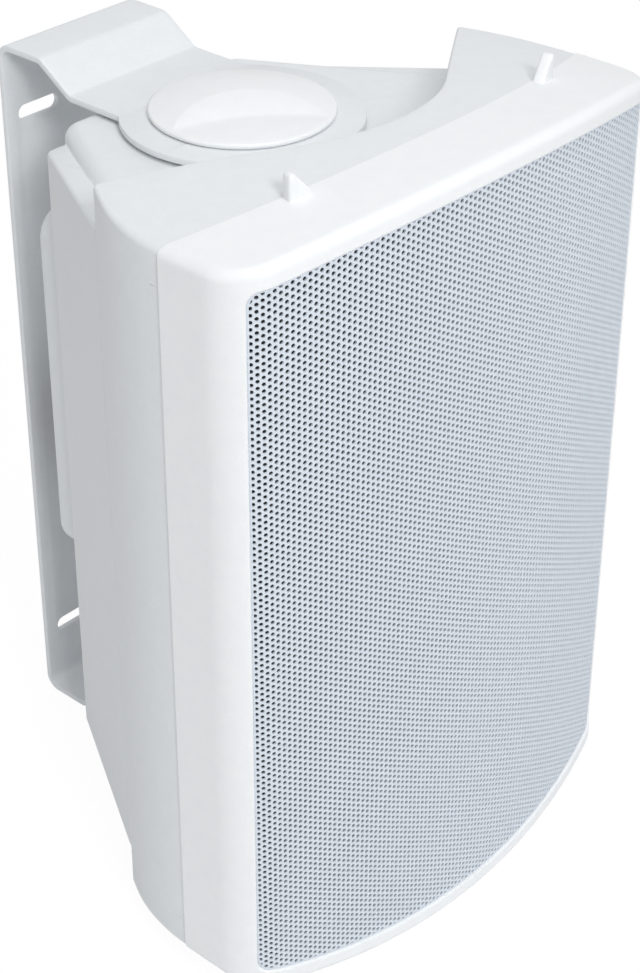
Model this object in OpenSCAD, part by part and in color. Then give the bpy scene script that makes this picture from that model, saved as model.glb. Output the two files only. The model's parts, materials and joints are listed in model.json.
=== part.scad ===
// Wall-mounted two-way loudspeaker: a moulded cabinet that swivels in a folded steel bracket.
// Millimetres. +Z is up and the front faces -Y.
// The origin is the middle of the wall plate's rear face.
// Each cabinet piece is drawn from the seam corner, which lies seam_y behind the origin.

/* [Cabinet] */
// Width of the cabinet at the seam
cabinet_w = 218; // [190:1:250]
// Height of the cabinet at its side edges
corner_h = 300; // [285:1:340]
// Rise of the arched top and bottom above the side edges
crown_h = 11.9; // [9:0.1:16]
// Wall thickness of the mouldings
wall = 3.5; // [3:0.1:4.5]
// How far the seam bows forward in the middle
seam_bow = 23; // [18:0.5:26]
// Radius of the curve from the straight side to the cheek
flare_r = 75; // [60:1:80]
// Angle at which the cheeks close towards the back
cheek_angle = 29.9; // [26:0.1:32]
// Depth from the seam corner to the cheek's rear edge
cheek_back = 113.6; // [108:0.2:118]
// Radius of the moulded edges between side and top
edge_r = 3; // [2.5:0.5:5]

/* [Bracket pocket] */
// Radius of the pocket's round front
pocket_r = 67; // [62:0.5:69]
// Distance from the swivel axis forward to the pocket's centre
pocket_lead = 7.5; // [5:0.5:9]
// Angle of the pocket's straight sides, from across
pocket_angle = 35.5; // [33:0.5:38]
// Height of the pocket floor above the middle
floor_h = 137.5; // [132:0.5:140]
// How far the cheek ledge lies below the pocket floor at the rear
ledge_drop = 7; // [4:0.5:8]
// How far it lies below the pocket floor at the pocket's walls
ledge_lead = 1.2; // [0.5:0.1:3]
// Width of the ledge along each cheek
ledge_w = 8; // [6:0.5:10]
// Depth from the seam corner to the rear face
rear_back = 117; // [114.5:0.5:120]
// Radius of the rounded edge along the floor
floor_edge_r = 6; // [3:0.5:8]

/* [Rear hump] */
// Width of the raised rear panel
hump_w = 102; // [94:1:104]
// Height of the raised rear panel
hump_h = 151; // [140:1:170]
// How far it stands behind the rear face
hump_d = 11; // [10:0.5:14]
// Height of its centre above the cabinet's middle
hump_rise = 25.5; // [20:0.5:30]
// Corner radius of the raised panel
hump_r = 12; // [8:1:16]

/* [Front frame] */
// Depth from the seam corner to the crest of the front lip
lip_d = 33.7; // [32:0.1:36]
// Width of the lip around the grille
lip_w = 6.4; // [5.5:0.1:8]
// Length of the lip's roll-over along the side
lip_round = 11; // [8:0.5:12]
// How much the frame stands proud of the cabinet
proud = 0.8; // [0.3:0.1:1.2]
// How far the front bows forward in the middle
front_bow = 18.1; // [14:0.5:20]
// Depth from the seam corner to the back of the baffle
baffle_back = 25; // [24.8:0.1:26]
// Thickness of the baffle
baffle_t = 3.5; // [3:0.1:4]
// Distance of each alignment fin's outer end from the middle
fin_x = 68; // [60:1:74]
// Length of each fin
fin_l = 12; // [9:0.5:15]
// Height of each fin
fin_h = 10; // [6:0.5:12]
// Thickness of each fin
fin_t = 4.3; // [3:0.1:5]

/* [Grille] */
// Thickness of the grille sheet
grille_t = 1; // [0.8:0.1:1.2]
// Gap around the grille
grille_gap = 0.4; // [0.3:0.05:0.6]
// How far the lip stands in front of the grille
grille_set = 1.1; // [0.6:0.1:1.6]
// Depth of the grille's returned edge
grille_flange = 4; // [2.5:0.1:4]
// Width of each opening across its flats
mesh_af = 8; // [5:0.5:11]
// Distance from one row of openings to the next
mesh_pitch = 27; // [25:0.5:34]
// Thickness of the dust cloth behind the grille
cloth_t = 0.8; // [0.5:0.1:1.2]

/* [Wall bracket] */
// Width of the steel strip
strip_w = 65.6; // [60:0.2:72]
// Thickness of the steel strip
strip_t = 2.5; // [2:0.1:3]
// Distance from the wall to the swivel axis
reach = 96.3; // [94:0.1:110]
// Distance from the swivel axis back to the seam corner
axis_lead = 68; // [66:0.5:70]
// Depth of the upper flange, from the wall to its fold
flange_d = 23.3; // [20:0.1:26]
// Horizontal run of the slope between the two folds
slope_run = 16; // [13:0.5:20]
// Drop of the slope between the two folds
slope_drop = 10.5; // [8:0.5:12]
// Inside radius of the folds
fold_r = 4; // [3:0.5:6]
// Radius of the disc at the end of each arm
disc_r = 45; // [40:0.5:50]
// Width of the wall slots
slot_w = 6; // [4.5:0.1:7]
// Length of the wall slots
slot_l = 20; // [14:0.2:22]
// Distance between slots across
slot_dx = 33; // [28:0.2:36]
// Distance between slots up and down
slot_dz = 243; // [200:1:250]

/* [Clamp knobs] */
// Radius of the knob
knob_r = 34.4; // [30:0.2:38]
// Height of the knob's rim
knob_rim = 2.4; // [2:0.1:4]
// Height of the knob in the middle
knob_h = 7.2; // [6.5:0.1:9]
// Radius of the finger scoop's wall at its floor
scoop_r = 65; // [55:1:80]
// Distance from the knob's axis to the scoop's wall at its floor
scoop_lead = 10.7; // [9:0.1:14]
// Thickness of the friction washer under the arm
washer_t = 1.5; // [1:0.1:2]
// Radius of the friction washer
washer_r = 30; // [22:1:36]
// Diameter of the clamp screw
screw_d = 8; // [6:0.5:10]

/* [Woofer] */
// Height of the woofer's centre above the middle
woofer_z = -52; // [-54:0.5:-50]
// Outer radius of the woofer's frame
woofer_r = 82; // [78:0.5:84]
// Radius of the woofer's opening in the baffle
woofer_hole_r = 72; // [68:0.5:74]
// Depth of the woofer's frame behind the baffle
woofer_d = 46; // [40:0.5:50]
// Radius of the magnet
magnet_r = 45; // [38:0.5:50]
// Thickness of the magnet
magnet_t = 16; // [12:0.5:20]
// Outer radius of the cone
cone_r = 57; // [54:0.5:60]
// Radius of the voice coil
coil_r = 13; // [12:0.5:15]
// Travel of the cone each way
cone_travel = 3; // [2:0.5:4]

/* [Tweeter] */
// Height of the tweeter's centre above the middle
tweeter_z = 86; // [84:0.5:88]
// Radius of the tweeter's faceplate
tweeter_r = 46; // [42:0.5:48]
// Radius of the dome
dome_r = 13; // [10:0.5:14]
// Radius of the tweeter's magnet
tweeter_magnet_r = 30; // [24:0.5:34]
// Thickness of the tweeter's magnet
tweeter_magnet_t = 14; // [10:0.5:18]

/* [Port] */
// How far the port stands in from halfway between the tweeter and the side wall
port_lean = 2.75; // [0:0.25:4]
// Height of the port above the middle
port_z = 86; // [60:0.5:92]
// Inner radius of the port
port_r = 16; // [12:0.5:18]
// Length of the port tube
port_l = 60; // [40:1:66]

/* [Crossover and terminals] */
// Width of the crossover board
board_w = 70; // [60:1:80]
// Height of the crossover board
board_h = 84; // [76:1:90]
// Thickness of the crossover board
board_t = 1.6; // [1.2:0.1:2]
// Height of the crossover board's centre above the middle
board_z = 52; // [48:1:56]
// Width of the terminal plate
plate_w = 66; // [60:1:72]
// Height of the terminal plate
plate_h = 44; // [40:1:48]
// Height of the terminal plate above the middle
plate_z = -15; // [-18:0.5:-12]
// Depth of the well in which the terminals stand
well_d = 9; // [7:0.5:10]
// Distance between the two terminals
post_dx = 24; // [19:0.5:28]
// Radius of each terminal cap
post_r = 6.5; // [5:0.1:7.5]
// Length of each terminal cap
post_l = 12; // [10:0.5:14]
// Radius of the plug socket in each terminal
socket_r = 2.05; // [2:0.05:2.2]

/* [Screws] */
// Radius of the front screw bosses
boss_r = 4.5; // [4:0.1:5]
// Distance of the front screws in from the cabinet's side
boss_in = 14; // [13:0.5:15]
// Height of the outer front screws above the middle
boss_z = 126; // [118:1:128]
// Radius of the front screws' shafts
front_screw_r = 1.75; // [1.5:0.05:2]
// Radius of the driver screws' shafts
driver_screw_r = 1.75; // [1.5:0.05:2]
// Thickness of the foam gaskets
gasket_t = 1; // [0.5:0.1:1.2]

/* [Hidden] */
$fn = 96;

half_w = cabinet_w / 2;
half_h = corner_h / 2;
ledge_h = floor_h - ledge_drop;
ledge_front = floor_h - ledge_lead;
ledge_knee = 45;
seam_y = -(reach + axis_lead);
boss_x = half_w - boss_in;
port_x = (tweeter_r + half_w - wall) / 2 - port_lean;
arch_r = arc_radius(half_w, crown_h);
arch_cz = half_h + crown_h - arch_r;
seam_r = arc_radius(half_w, seam_bow);
seam_gap = gasket_t;
pocket_y = axis_lead - pocket_lead;
pocket_slope = tan(pocket_angle);
flare_end = flare_r * sin(cheek_angle);
arm_top = floor_h + washer_t + strip_t;
bracket_top = arm_top + slope_drop;
play = 0.2;
stud_r = screw_d / 2;
knob_head_r = 7.5;
knob_head_h = 1.8;
screw_reach = 14;
scoop_turn = 234.6;
scoop_tilt = 1.4;
scoop_sink = 0.1;
scoop_lean = 2.66;
insert_r = stud_r + 3.5;
insert_l = 18;
insert_boss_r = insert_r + 5;
grille_half_w = half_w - lip_w - grille_gap;
grille_d = lip_d - grille_set;
grille_r = arc_radius(grille_half_w, front_bow);
baffle_front = baffle_back + baffle_t;
front_boss_back = 4;
front_boss_l = 26;
screw_head_h = 2.4;
driver_flange_t = 2.5;
basket_floor_r = 47;
basket_floor_z = 3 - woofer_d;
spider_z = basket_floor_z + 9;
cone_neck_z = spider_z + 10;
surround_gap = 0.4;
surround_roll = cone_travel + 2;
surround_out = cone_r + 2 * surround_roll + 2.8;
spider_r = 36.6;
surround_r = (cone_r + surround_gap + surround_out) / 2;
top_plate_t = 5;
pole_plate_t = 5;
coil_wall = 0.5;
coil_gap = 0.7;
tweeter_cup_wall = 2;
tweeter_motor_t = 8;
back_wall = rear_back + hump_d;
board_post_l = 16;
board_y = back_wall - wall - board_post_l;
corner_steps = 4;
crown_steps = 16;
eps = 0.01;

// Radius of the arc with this half chord and rise
function arc_radius(half, rise) = (half * half + rise * rise) / (2 * rise);

// Height of that arc above its chord
function arc_rise(x, half, rise) =
    let (r = arc_radius(half, rise)) sqrt(r * r - x * x) - (r - rise);

// Half width of the cabinet at a depth behind the seam corner
function side_x(y) =
    y < 0 ? half_w
    : y < flare_end ? half_w - flare_r + sqrt(flare_r * flare_r - y * y)
    : half_w - flare_r * (1 - cos(cheek_angle)) - (y - flare_end) * tan(cheek_angle);

// Upper half of the outline, from its right side over the crown to its left side
function upper_outline(w, r, inset) =
    let (big = arch_r - inset,
         cx = w - r,
         cz = arch_cz + sqrt(pow(big - r, 2) - cx * cx),
         turn = atan2(cz - arch_cz, cx))
    concat([for (k = [0 : corner_steps])
                let (a = turn * k / corner_steps) [cx + r * cos(a), cz + r * sin(a)]],
           [for (k = [1 : crown_steps - 1])
                let (a = turn + (180 - 2 * turn) * k / crown_steps) [big * cos(a), arch_cz + big * sin(a)]],
           [for (k = [corner_steps : -1 : 0])
                let (a = turn * k / corner_steps) [-cx - r * cos(a), cz + r * sin(a)]]);

// The whole outline of the front view, symmetrical about both middles
function outline(w, r, inset) =
    let (up = upper_outline(w, r, inset), n = len(up))
    concat(up, [for (k = [n - 1 : -1 : 0]) [up[k].x, -up[k].y]]);

// One ring of a skin: an outline bowed forward by sag and set at depth y behind the seam
function ring(w, r, inset, y, sag = 0) =
    [for (p = outline(w, r, inset)) [p.x, y - (sag > 0 ? arc_rise(p.x, half_w, sag) : 0), p.y]];

// Solid through a list of rings, given from the rear to the front, closed by upright strips
// at its ends, or joined end to end round a section that runs forward outside and back inside
module skin(rings, looped = false) {
    n = len(rings[0]);
    m = len(rings);
    spans = looped ? m : m - 1;
    sides = [for (j = [0 : spans - 1], i = [0 : n - 1])
             let (a = j * n + i, b = j * n + (i + 1) % n, up = ((j + 1) % m) * n)
             each [[a, up + i, b], [b, up + i, up + (i + 1) % n]]];
    caps = looped ? []
         : [for (i = [0 : n / 2 - 2], last = [false, true])
            let (o = last ? (m - 1) * n : 0, q = [o + i, o + i + 1, o + n - 2 - i, o + n - 1 - i])
            each last ? [[q[3], q[2], q[0]], [q[2], q[1], q[0]]] : [[q[0], q[2], q[3]], [q[0], q[1], q[2]]]];
    polyhedron([for (r = rings) each r], concat(sides, caps));
}

// Places a piece that is drawn from the seam corner
module in_cabinet() {
    translate([0, seam_y, 0]) children();
}

// Draws a piece at the top and again, turned over, at the bottom
module top_and_bottom() {
    children();
    mirror([0, 0, 1]) children();
}

// Turns an upright solid so that it points forward, with its foot at depth y behind the seam
module forward(x, y, z) {
    translate([x, y, z]) rotate([90, 0, 0]) children();
}

// Tapered skin of the cabinet behind the seam, set in by a wall
module cabinet_skin(inset) {
    r = max(edge_r - inset, 0.5);
    back = cheek_back - inset;
    ys = concat([-seam_bow - 6, 0.8], [for (k = [1 : 6]) flare_end * k / 6],
                [for (a = [0 : 30 : 90]) back - edge_r * (1 - sin(a))]);
    ins = concat([for (k = [0 : 7]) 0], [for (a = [0 : 30 : 90]) edge_r * (1 - cos(a))]);
    skin([for (k = [len(ys) - 1 : -1 : 0])
          ring(side_x(ys[k]) - inset - ins[k], r, inset, ys[k])]);
}

// Plan of the pocket behind its round front, grown by a wall
module pocket_plan(grow) {
    far = 200;
    r = pocket_r + grow;
    end_x = r * sin(pocket_angle);
    far_y = pocket_y - r * cos(pocket_angle) + (far - end_x) * pocket_slope;
    polygon(concat([for (k = [-16 : 16])
                       let (a = pocket_angle * k / 16) [r * sin(a), pocket_y - r * cos(a)]],
                   [[far, far_y], [far, far_y + far], [-far, far_y + far], [-far, far_y]]));
}

// Plan of the raised floor between the cheeks
module floor_plan(inset) {
    run = tan(cheek_angle);
    edge = ledge_w / cos(cheek_angle) + inset / cos(cheek_angle);
    polygon([[side_x(flare_end) - edge, flare_end],
             [side_x(flare_end) - edge - (rear_back - inset - flare_end) * run, rear_back - inset],
             [-side_x(flare_end) + edge + (rear_back - inset - flare_end) * run, rear_back - inset],
             [-side_x(flare_end) + edge, flare_end]]);
}

// Raised floor block with its rounded upper and lower edges
module floor_block(inset) {
    h = floor_h - inset;
    r = floor_edge_r;
    hull() {
        for (a = [0 : 30 : 90]) {
            half = h - r * (1 - sin(a));
            translate([0, 0, -half]) linear_extrude(2 * half) floor_plan(inset + r * (1 - cos(a)));
        }
    }
}

// Raised rear panel with rounded corners and a rolled edge
module hump(inset) {
    roll = 4;
    hull() {
        for (sx = [-1, 1], sz = [-1, 1], a = [0, 45, 90]) {
            r = hump_r - inset - roll * (1 - cos(a));
            forward(sx * (hump_w / 2 - hump_r), back_wall - inset - roll * (1 - sin(a)),
                    hump_rise + sz * (hump_h / 2 - hump_r))
                cylinder(r = r, h = hump_d + 6, $fn = 32);
        }
    }
}

// Side view of the body below the ledges, which fall towards the rear
module ledge_side(inset) {
    front = ledge_front - inset;
    rear = ledge_h - inset;
    polygon([[-100, front], [ledge_knee, front], [rear_back, rear], [rear_back + 80, rear],
             [rear_back + 80, -rear], [rear_back, -rear], [ledge_knee, -front], [-100, -front]]);
}

// Closed form of the rear cabinet, set in by a wall for its cavity
module cabinet_form(inset) {
    intersection() {
        cabinet_skin(inset);
        union() {
            rotate([90, 0, 90]) linear_extrude(cabinet_w, center = true) ledge_side(inset);
            linear_extrude(2 * half_h + 80, center = true) difference() {
                translate([-half_w, -60]) square([cabinet_w, 200]);
                pocket_plan(inset);
            }
        }
    }
    floor_block(inset);
    hump(inset);
}

// Region behind the bowed seam
module behind_seam(gap = 0) {
    translate([0, seam_r - seam_bow + gap, -half_h - 50])
        cylinder(r = seam_r, h = corner_h + 100, $fn = 360);
}

// Places one solid at each front screw
module at_front_screws() {
    for (x = [-boss_x, boss_x], z = [-boss_z, 0, boss_z]) translate([x, 0, z]) children();
}

// Screw boss in the cabinet with a web to the side wall
module cabinet_boss() {
    forward(0, front_boss_back + front_boss_l, 0) cylinder(r = boss_r, h = front_boss_l);
}

module rear_cabinet() {
    color("#dfe3e6") in_cabinet() difference() {
        union() {
            difference() {
                intersection() {
                    cabinet_form(0);
                    behind_seam();
                }
                cabinet_form(wall);
            }
            intersection() {
                union() {
                    at_front_screws() {
                        cabinet_boss();
                    }
                    for (s = [-1, 1], z = [-boss_z, 0, boss_z])
                        translate([s > 0 ? boss_x : -half_w, front_boss_back, z - 1.5])
                            cube([half_w - boss_x, front_boss_l, 3]);
                    top_and_bottom() translate([0, axis_lead, floor_h - insert_l - wall])
                        cylinder(r = insert_boss_r, h = insert_l + wall - eps);
                    well_walls();
                    board_posts();
                }
                cabinet_form(wall / 2);
            }
        }
        top_and_bottom() translate([0, axis_lead, floor_h - insert_l]) cylinder(r = insert_r, h = insert_l + 1);
        at_front_screws()
            forward(0, front_boss_back + front_boss_l - 2, 0) cylinder(r = front_screw_r, h = front_boss_l);
        terminal_well();
        board_screw_holes();
    }
}

// Well in the rear panel that takes the terminal plate
module terminal_well() {
    translate([-plate_w / 2, back_wall - gasket_t - 1.5, plate_z - plate_h / 2])
        cube([plate_w, 10, plate_h]);
    translate([-plate_w / 2 + 6, back_wall - well_d - 8, plate_z - plate_h / 2 + 6])
        cube([plate_w - 12, well_d + 10, plate_h - 12]);
    at_plate_screws() forward(0, back_wall, 0) cylinder(r = driver_screw_r, h = 9);
}

// Collar inside the rear panel around the well
module well_walls() {
    translate([-plate_w / 2 - 1, back_wall - wall - 8, plate_z - plate_h / 2 - 1])
        cube([plate_w + 2, 8 + wall, plate_h + 2]);
}

module at_plate_screws() {
    for (sx = [-1, 1], sz = [-1, 1])
        translate([sx * (plate_w / 2 - 3.5), 0, plate_z + sz * (plate_h / 2 - 3.5)]) children();
}

// Corner places of the crossover board's screws
module at_board_screws() {
    for (sx = [-1, 1], sz = [-1, 1])
        translate([sx * (board_w / 2 - 5), 0, board_z + sz * (board_h / 2 - 5)]) children();
}

// Posts that carry the crossover board in front of the rear wall
module board_posts() {
    at_board_screws() forward(0, back_wall - wall + 1, 0) cylinder(r = 4, h = board_post_l + 1);
}

module board_screw_holes() {
    at_board_screws() forward(0, board_y + 12, 0) cylinder(r = driver_screw_r, h = 14);
}

// Section of the front frame as [inset, depth, bow], from the seam over the lip and back inside
frame_section = concat(
    [[proud * 0.4 - proud, seam_gap, seam_bow], [-proud, seam_gap + 0.7, seam_bow]],
    [for (a = [0 : 15 : 90])
        [lip_w * (1 - cos(a)) - proud * cos(a), lip_d - lip_round * (1 - sin(a)), front_bow * (0.5 + 0.5 * sin(a)) + seam_bow * 0.5 * (1 - sin(a))]],
    [[lip_w + 0.4, lip_d - 0.5, front_bow],
     [lip_w + 0.4, baffle_back, 0],
     [wall, baffle_back, 0],
     [wall, seam_gap, seam_bow]]);

module front_frame() {
    color("#f4f6f7") in_cabinet() difference() {
        union() {
            skin([for (p = frame_section)
                  ring(half_w - p[0], max(edge_r + 1.5 - p[0], 1), p[0], -p[1], p[2])], looped = true);
            forward(0, -baffle_back, 0) linear_extrude(baffle_t) baffle_plan();
            at_front_screws() forward(0, front_boss_back, 0)
                cylinder(r = boss_r, h = front_boss_back + baffle_back);
            for (s = [-1, 1]) fin(s);
        }
        forward(0, 0, woofer_z) cylinder(r = woofer_hole_r, h = 60);
        forward(0, 0, tweeter_z) cylinder(r = tweeter_magnet_r + tweeter_cup_wall + 1.5, h = 60);
        forward(port_x, 0, port_z) cylinder(r = port_r + 2, h = 60);
        at_front_screws() forward(0, front_boss_back + 1, 0) cylinder(r = front_screw_r + 0.3, h = 60);
        at_driver_screws() forward(0, 0, 0) cylinder(r = driver_screw_r, h = 60);
    }
}

// Outline of the baffle inside the frame
module baffle_plan() {
    inset = wall + 1.5;
    intersection() {
        square([cabinet_w - 2 * inset, corner_h + 60], center = true);
        translate([0, arch_cz]) circle(r = arch_r - inset, $fn = 360);
        translate([0, -arch_cz]) circle(r = arch_r - inset, $fn = 360);
    }
}

// Alignment fin on the frame's rear edge
module fin(side) {
    mid = fin_x - fin_l / 2;
    foot = half_h + arc_rise(mid, half_w, crown_h) - 1.5;
    lean = atan2(arc_rise(mid - fin_l / 2, half_w, seam_bow) - arc_rise(mid + fin_l / 2, half_w, seam_bow), fin_l);
    translate([side * mid, -arc_rise(mid, half_w, seam_bow) - seam_gap - 0.2, foot])
        rotate(side * lean) translate([-side * fin_l / 2, -fin_t / 2, 0]) rotate([90, 0, 0])
            linear_extrude(fin_t, center = true)
                polygon([[0, 0], [side * fin_l, 0], [side * fin_l, fin_h + 0.5], [side * (fin_l - 2), fin_h + 1]]);
}

// Places of the screws that hold the two drivers
module at_driver_screws() {
    for (a = [30 : 60 : 330])
        translate([(woofer_r - 5) * cos(a), 0, woofer_z + (woofer_r - 5) * sin(a)]) children();
    for (a = [45 : 90 : 315])
        translate([(tweeter_r - 5) * cos(a), 0, tweeter_z + (tweeter_r - 5) * sin(a)]) children();
}

// Front outline of the grille, set in by an amount
module grille_plan(inset) {
    w = grille_half_w - inset;
    polygon(outline(w, 6 - min(inset, 3), lip_w + grille_gap + inset + 0.12));
}

// Band between two bowed faces, seen in plan and raised the full height
module bowed_band(back, front) {
    linear_extrude(corner_h + 60, center = true) difference() {
        translate([0, grille_r - front_bow - front]) circle(r = grille_r, $fn = 360);
        translate([0, grille_r - front_bow - back]) circle(r = grille_r, $fn = 360);
        translate([0, 100]) square([2 * half_w + 40, 200], center = true);
        translate([0, 400]) square([1200, 600], center = true);
    }
}

module grille() {
    color("#d5dbe2") in_cabinet() {
        difference() {
            intersection() {
                forward(0, 0, 0) linear_extrude(80) grille_plan(0);
                union() {
                    bowed_band(grille_d - grille_t, grille_d);
                    difference() {
                        bowed_band(grille_d - grille_flange, grille_d);
                        forward(0, 0, 0) linear_extrude(90) grille_plan(grille_t);
                    }
                }
            }
            mesh_openings();
        }
    }
}

// Staggered openings of the grille
module mesh_openings() {
    step_x = mesh_pitch * sqrt(3) / 2;
    cols = floor((grille_half_w - mesh_af) / step_x);
    for (c = [-cols : cols]) {
        rows = floor((half_h - mesh_af - (c % 2 == 0 ? 0 : mesh_pitch / 2)) / mesh_pitch);
        for (k = [-rows : rows]) {
            z = k * mesh_pitch + (c % 2 == 0 ? 0 : mesh_pitch / 2);
            if (abs(z) < half_h - mesh_af)
                forward(c * step_x, 0, z) rotate(30) cylinder(r = mesh_af / sqrt(3), h = 80, $fn = 6);
        }
    }
}

module grille_cloth() {
    margin = 12;
    color("#5d6468") in_cabinet() intersection() {
        forward(0, 0, 0) linear_extrude(80) grille_plan(margin);
        bowed_band(grille_d - grille_t - cloth_t, grille_d - grille_t);
    }
}

module seam_gasket() {
    outer = 0.6;
    inner = wall - 0.6;
    clear = 0.2;
    back = 0.15;
    color("#3c4043") in_cabinet()
        skin([for (p = [[outer, back], [outer, gasket_t - clear], [inner, gasket_t - clear], [inner, back]])
              ring(half_w - p[0], edge_r, p[0], -p[1], seam_bow)], looped = true);
}

// Round steel disc and strip seen from above, from the axis back to the wall
module arm_plan() {
    circle(r = disc_r, $fn = 180);
    translate([-strip_w / 2, 0]) square([strip_w, reach]);
}

// Folded section of the strip, seen from the side: wall plate, flange, slope and arm
module strip_section() {
    lap = strip_t * tan(atan2(slope_drop, slope_run) / 2);
    outer = fold_r + strip_t;
    difference() {
        union() {
            translate([-strip_t, 0]) square([strip_t, bracket_top - outer]);
            translate([-flange_d, bracket_top - strip_t]) square([flange_d - outer, strip_t]);
            intersection() {
                translate([-outer, bracket_top - outer]) circle(r = outer);
                translate([-outer, bracket_top - outer]) square(outer);
            }
            polygon([[-flange_d, bracket_top], [-flange_d - slope_run, arm_top],
                     [-flange_d - slope_run - lap, arm_top - strip_t],
                     [-flange_d - slope_run, arm_top - strip_t], [-flange_d + lap, bracket_top - strip_t],
                     [-flange_d + lap, bracket_top]]);
            translate([-reach - disc_r, arm_top - strip_t]) square([disc_r + reach - flange_d - slope_run, strip_t]);
        }
        translate([-outer, bracket_top - outer]) circle(r = fold_r);
    }
}

module wall_bracket() {
    color("#eef1f2") difference() {
        intersection() {
            rotate([90, 0, 90]) linear_extrude(2 * disc_r + 10, center = true) {
                strip_section();
                mirror([0, 1]) strip_section();
            }
            linear_extrude(2 * bracket_top + 10, center = true) translate([0, -reach]) arm_plan();
        }
        arm_hole();
        for (sx = [-1, 1], sz = [-1, 1]) translate([sx * slot_dx / 2, 0, sz * slot_dz / 2]) wall_slot();
    }
}

// Hole for the clamp screw through both arms
module arm_hole() {
    translate([0, -reach, -bracket_top - 5]) cylinder(r = stud_r + 0.4, h = 2 * bracket_top + 10);
}

// Slot with round ends through the wall plate
module wall_slot() {
    run = (slot_l - slot_w) / 2;
    for (s = [-1, 1]) translate([s * run, 5, 0]) rotate([90, 0, 0]) cylinder(r = slot_w / 2, h = strip_t + 10);
    translate([-run, -strip_t - 5, -slot_w / 2]) cube([2 * run, strip_t + 10, slot_w]);
}

module swivel_inserts() {
    color("#c9a14a") translate([0, -reach, 0]) top_and_bottom()
        translate([0, 0, floor_h - insert_l]) difference() {
            cylinder(r = insert_r, h = insert_l);
            translate([0, 0, 2]) cylinder(r = stud_r + 0.05, h = insert_l);
        }
}

module friction_washers() {
    color("#2f3234") translate([0, -reach, 0]) top_and_bottom()
        translate([0, 0, floor_h]) difference() {
            cylinder(r = washer_r, h = washer_t - play / 2);
            translate([0, 0, -1]) cylinder(r = stud_r + 0.4, h = washer_t + 2);
        }
}

// Low domed knob with one finger scoop, drawn with its foot at zero
module knob_shape() {
    rim_edge = 1;
    dome_radius = arc_radius(knob_r - rim_edge, knob_h - knob_rim);
    difference() {
        intersection() {
            rotate_extrude() polygon([[0, 0], [knob_r - 0.4, 0], [knob_r, 0.4], [knob_r, knob_rim - rim_edge],
                                      [knob_r - rim_edge, knob_rim], [knob_r - rim_edge, knob_h + 1], [0, knob_h + 1]]);
            translate([0, 0, knob_h - dome_radius]) sphere(r = dome_radius, $fn = 180);
        }
        rotate(scoop_turn) translate([scoop_lead, 0, knob_rim - scoop_sink]) rotate([0, -scoop_tilt, 0])
            translate([scoop_r, 0, 0]) cylinder(r1 = scoop_r, r2 = scoop_r + 7 * scoop_lean, h = 7, $fn = 360);
        knob_socket();
    }
}

// Hexagonal pocket that holds the clamp screw's head
module knob_socket() {
    translate([0, 0, -1]) cylinder(r = knob_head_r + 0.05, h = knob_head_h + 1.1, $fn = 6);
}

// Clamp screw with its hexagonal head, drawn from the knob's foot
module clamp_screw_shape() {
    grip = strip_t + washer_t + play;
    cylinder(r = knob_head_r, h = knob_head_h, $fn = 6);
    translate([0, 0, -grip - screw_reach]) cylinder(r = stud_r, h = screw_reach + grip + 0.5);
}

module at_knob(up) {
    translate([0, -reach, 0]) mirror([0, 0, up ? 0 : 1]) translate([0, 0, arm_top + play]) children();
}

module upper_knob() { color("#f1f3f4") at_knob(true) knob_shape(); }
module lower_knob() { color("#f1f3f4") at_knob(false) knob_shape(); }
module upper_clamp_screw() { color("#b9bdc0") at_knob(true) clamp_screw_shape(); }
module lower_clamp_screw() { color("#b9bdc0") at_knob(false) clamp_screw_shape(); }

// Places a woofer piece, drawn from the baffle's front face and pointing forward
module in_woofer() {
    in_cabinet() forward(0, -baffle_front, woofer_z) children();
}

module woofer_basket() {
    color("#3a3e42") in_woofer() difference() {
        rotate_extrude() polygon([[woofer_r, 0], [woofer_r, driver_flange_t], [cone_r + 12, driver_flange_t],
            [cone_r + 12, -2], [basket_floor_r - 2, -woofer_d + 3], [30, -woofer_d + 3], [30, -woofer_d],
            [basket_floor_r, -woofer_d], [woofer_hole_r - 1, -2], [woofer_hole_r - 1, 0]]);
        for (a = [0 : 60 : 300]) rotate(a) translate([0, -11, -woofer_d + 8]) cube([100, 22, woofer_d - 16]);
        for (a = [30 : 60 : 330]) rotate(a) translate([woofer_r - 5, 0, -1]) cylinder(r = driver_screw_r + 0.3, h = 5);
    }
}

module woofer_gasket() {
    color("#26282a") in_woofer() translate([0, 0, driver_flange_t]) difference() {
        cylinder(r = woofer_r - 9, h = gasket_t);
        translate([0, 0, -1]) cylinder(r = cone_r + 13, h = gasket_t + 2);
    }
}

module woofer_surround() {
    skin_t = 0.7;
    foot = surround_r - surround_roll - cone_r - surround_gap + skin_t;
    color("#1d1f20") in_woofer() translate([0, 0, driver_flange_t]) rotate_extrude() {
        translate([cone_r + surround_gap, 0.1]) square([foot, skin_t]);
        translate([surround_out - foot, 0.1]) square([foot, skin_t]);
        translate([surround_r, 0.1]) intersection() {
            difference() {
                circle(r = surround_roll);
                circle(r = surround_roll - skin_t);
            }
            translate([-surround_roll, 0]) square([2 * surround_roll, surround_roll]);
        }
    }
}

module woofer_cone() {
    color("#e3e1da") in_woofer() rotate_extrude()
        polygon([[coil_r + coil_wall + 0.02, cone_neck_z], [coil_r + coil_wall + 1.2, cone_neck_z],
                 [cone_r - 4, 2.4], [cone_r, 2.4], [cone_r, 3.4], [cone_r - 4.6, 3.4],
                 [coil_r + coil_wall + 0.02, cone_neck_z + 1.6]]);
}

module woofer_dust_cap() {
    cap_r = coil_r + 6;
    rise = 5;
    big = arc_radius(cap_r, rise);
    color("#232527") in_woofer() translate([0, 0, cone_neck_z + 5.6]) rotate_extrude() intersection() {
        translate([0, rise - big]) difference() {
            circle(r = big, $fn = 180);
            circle(r = big - 0.8, $fn = 180);
        }
        square([cap_r, rise + 1]);
    }
}

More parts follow.
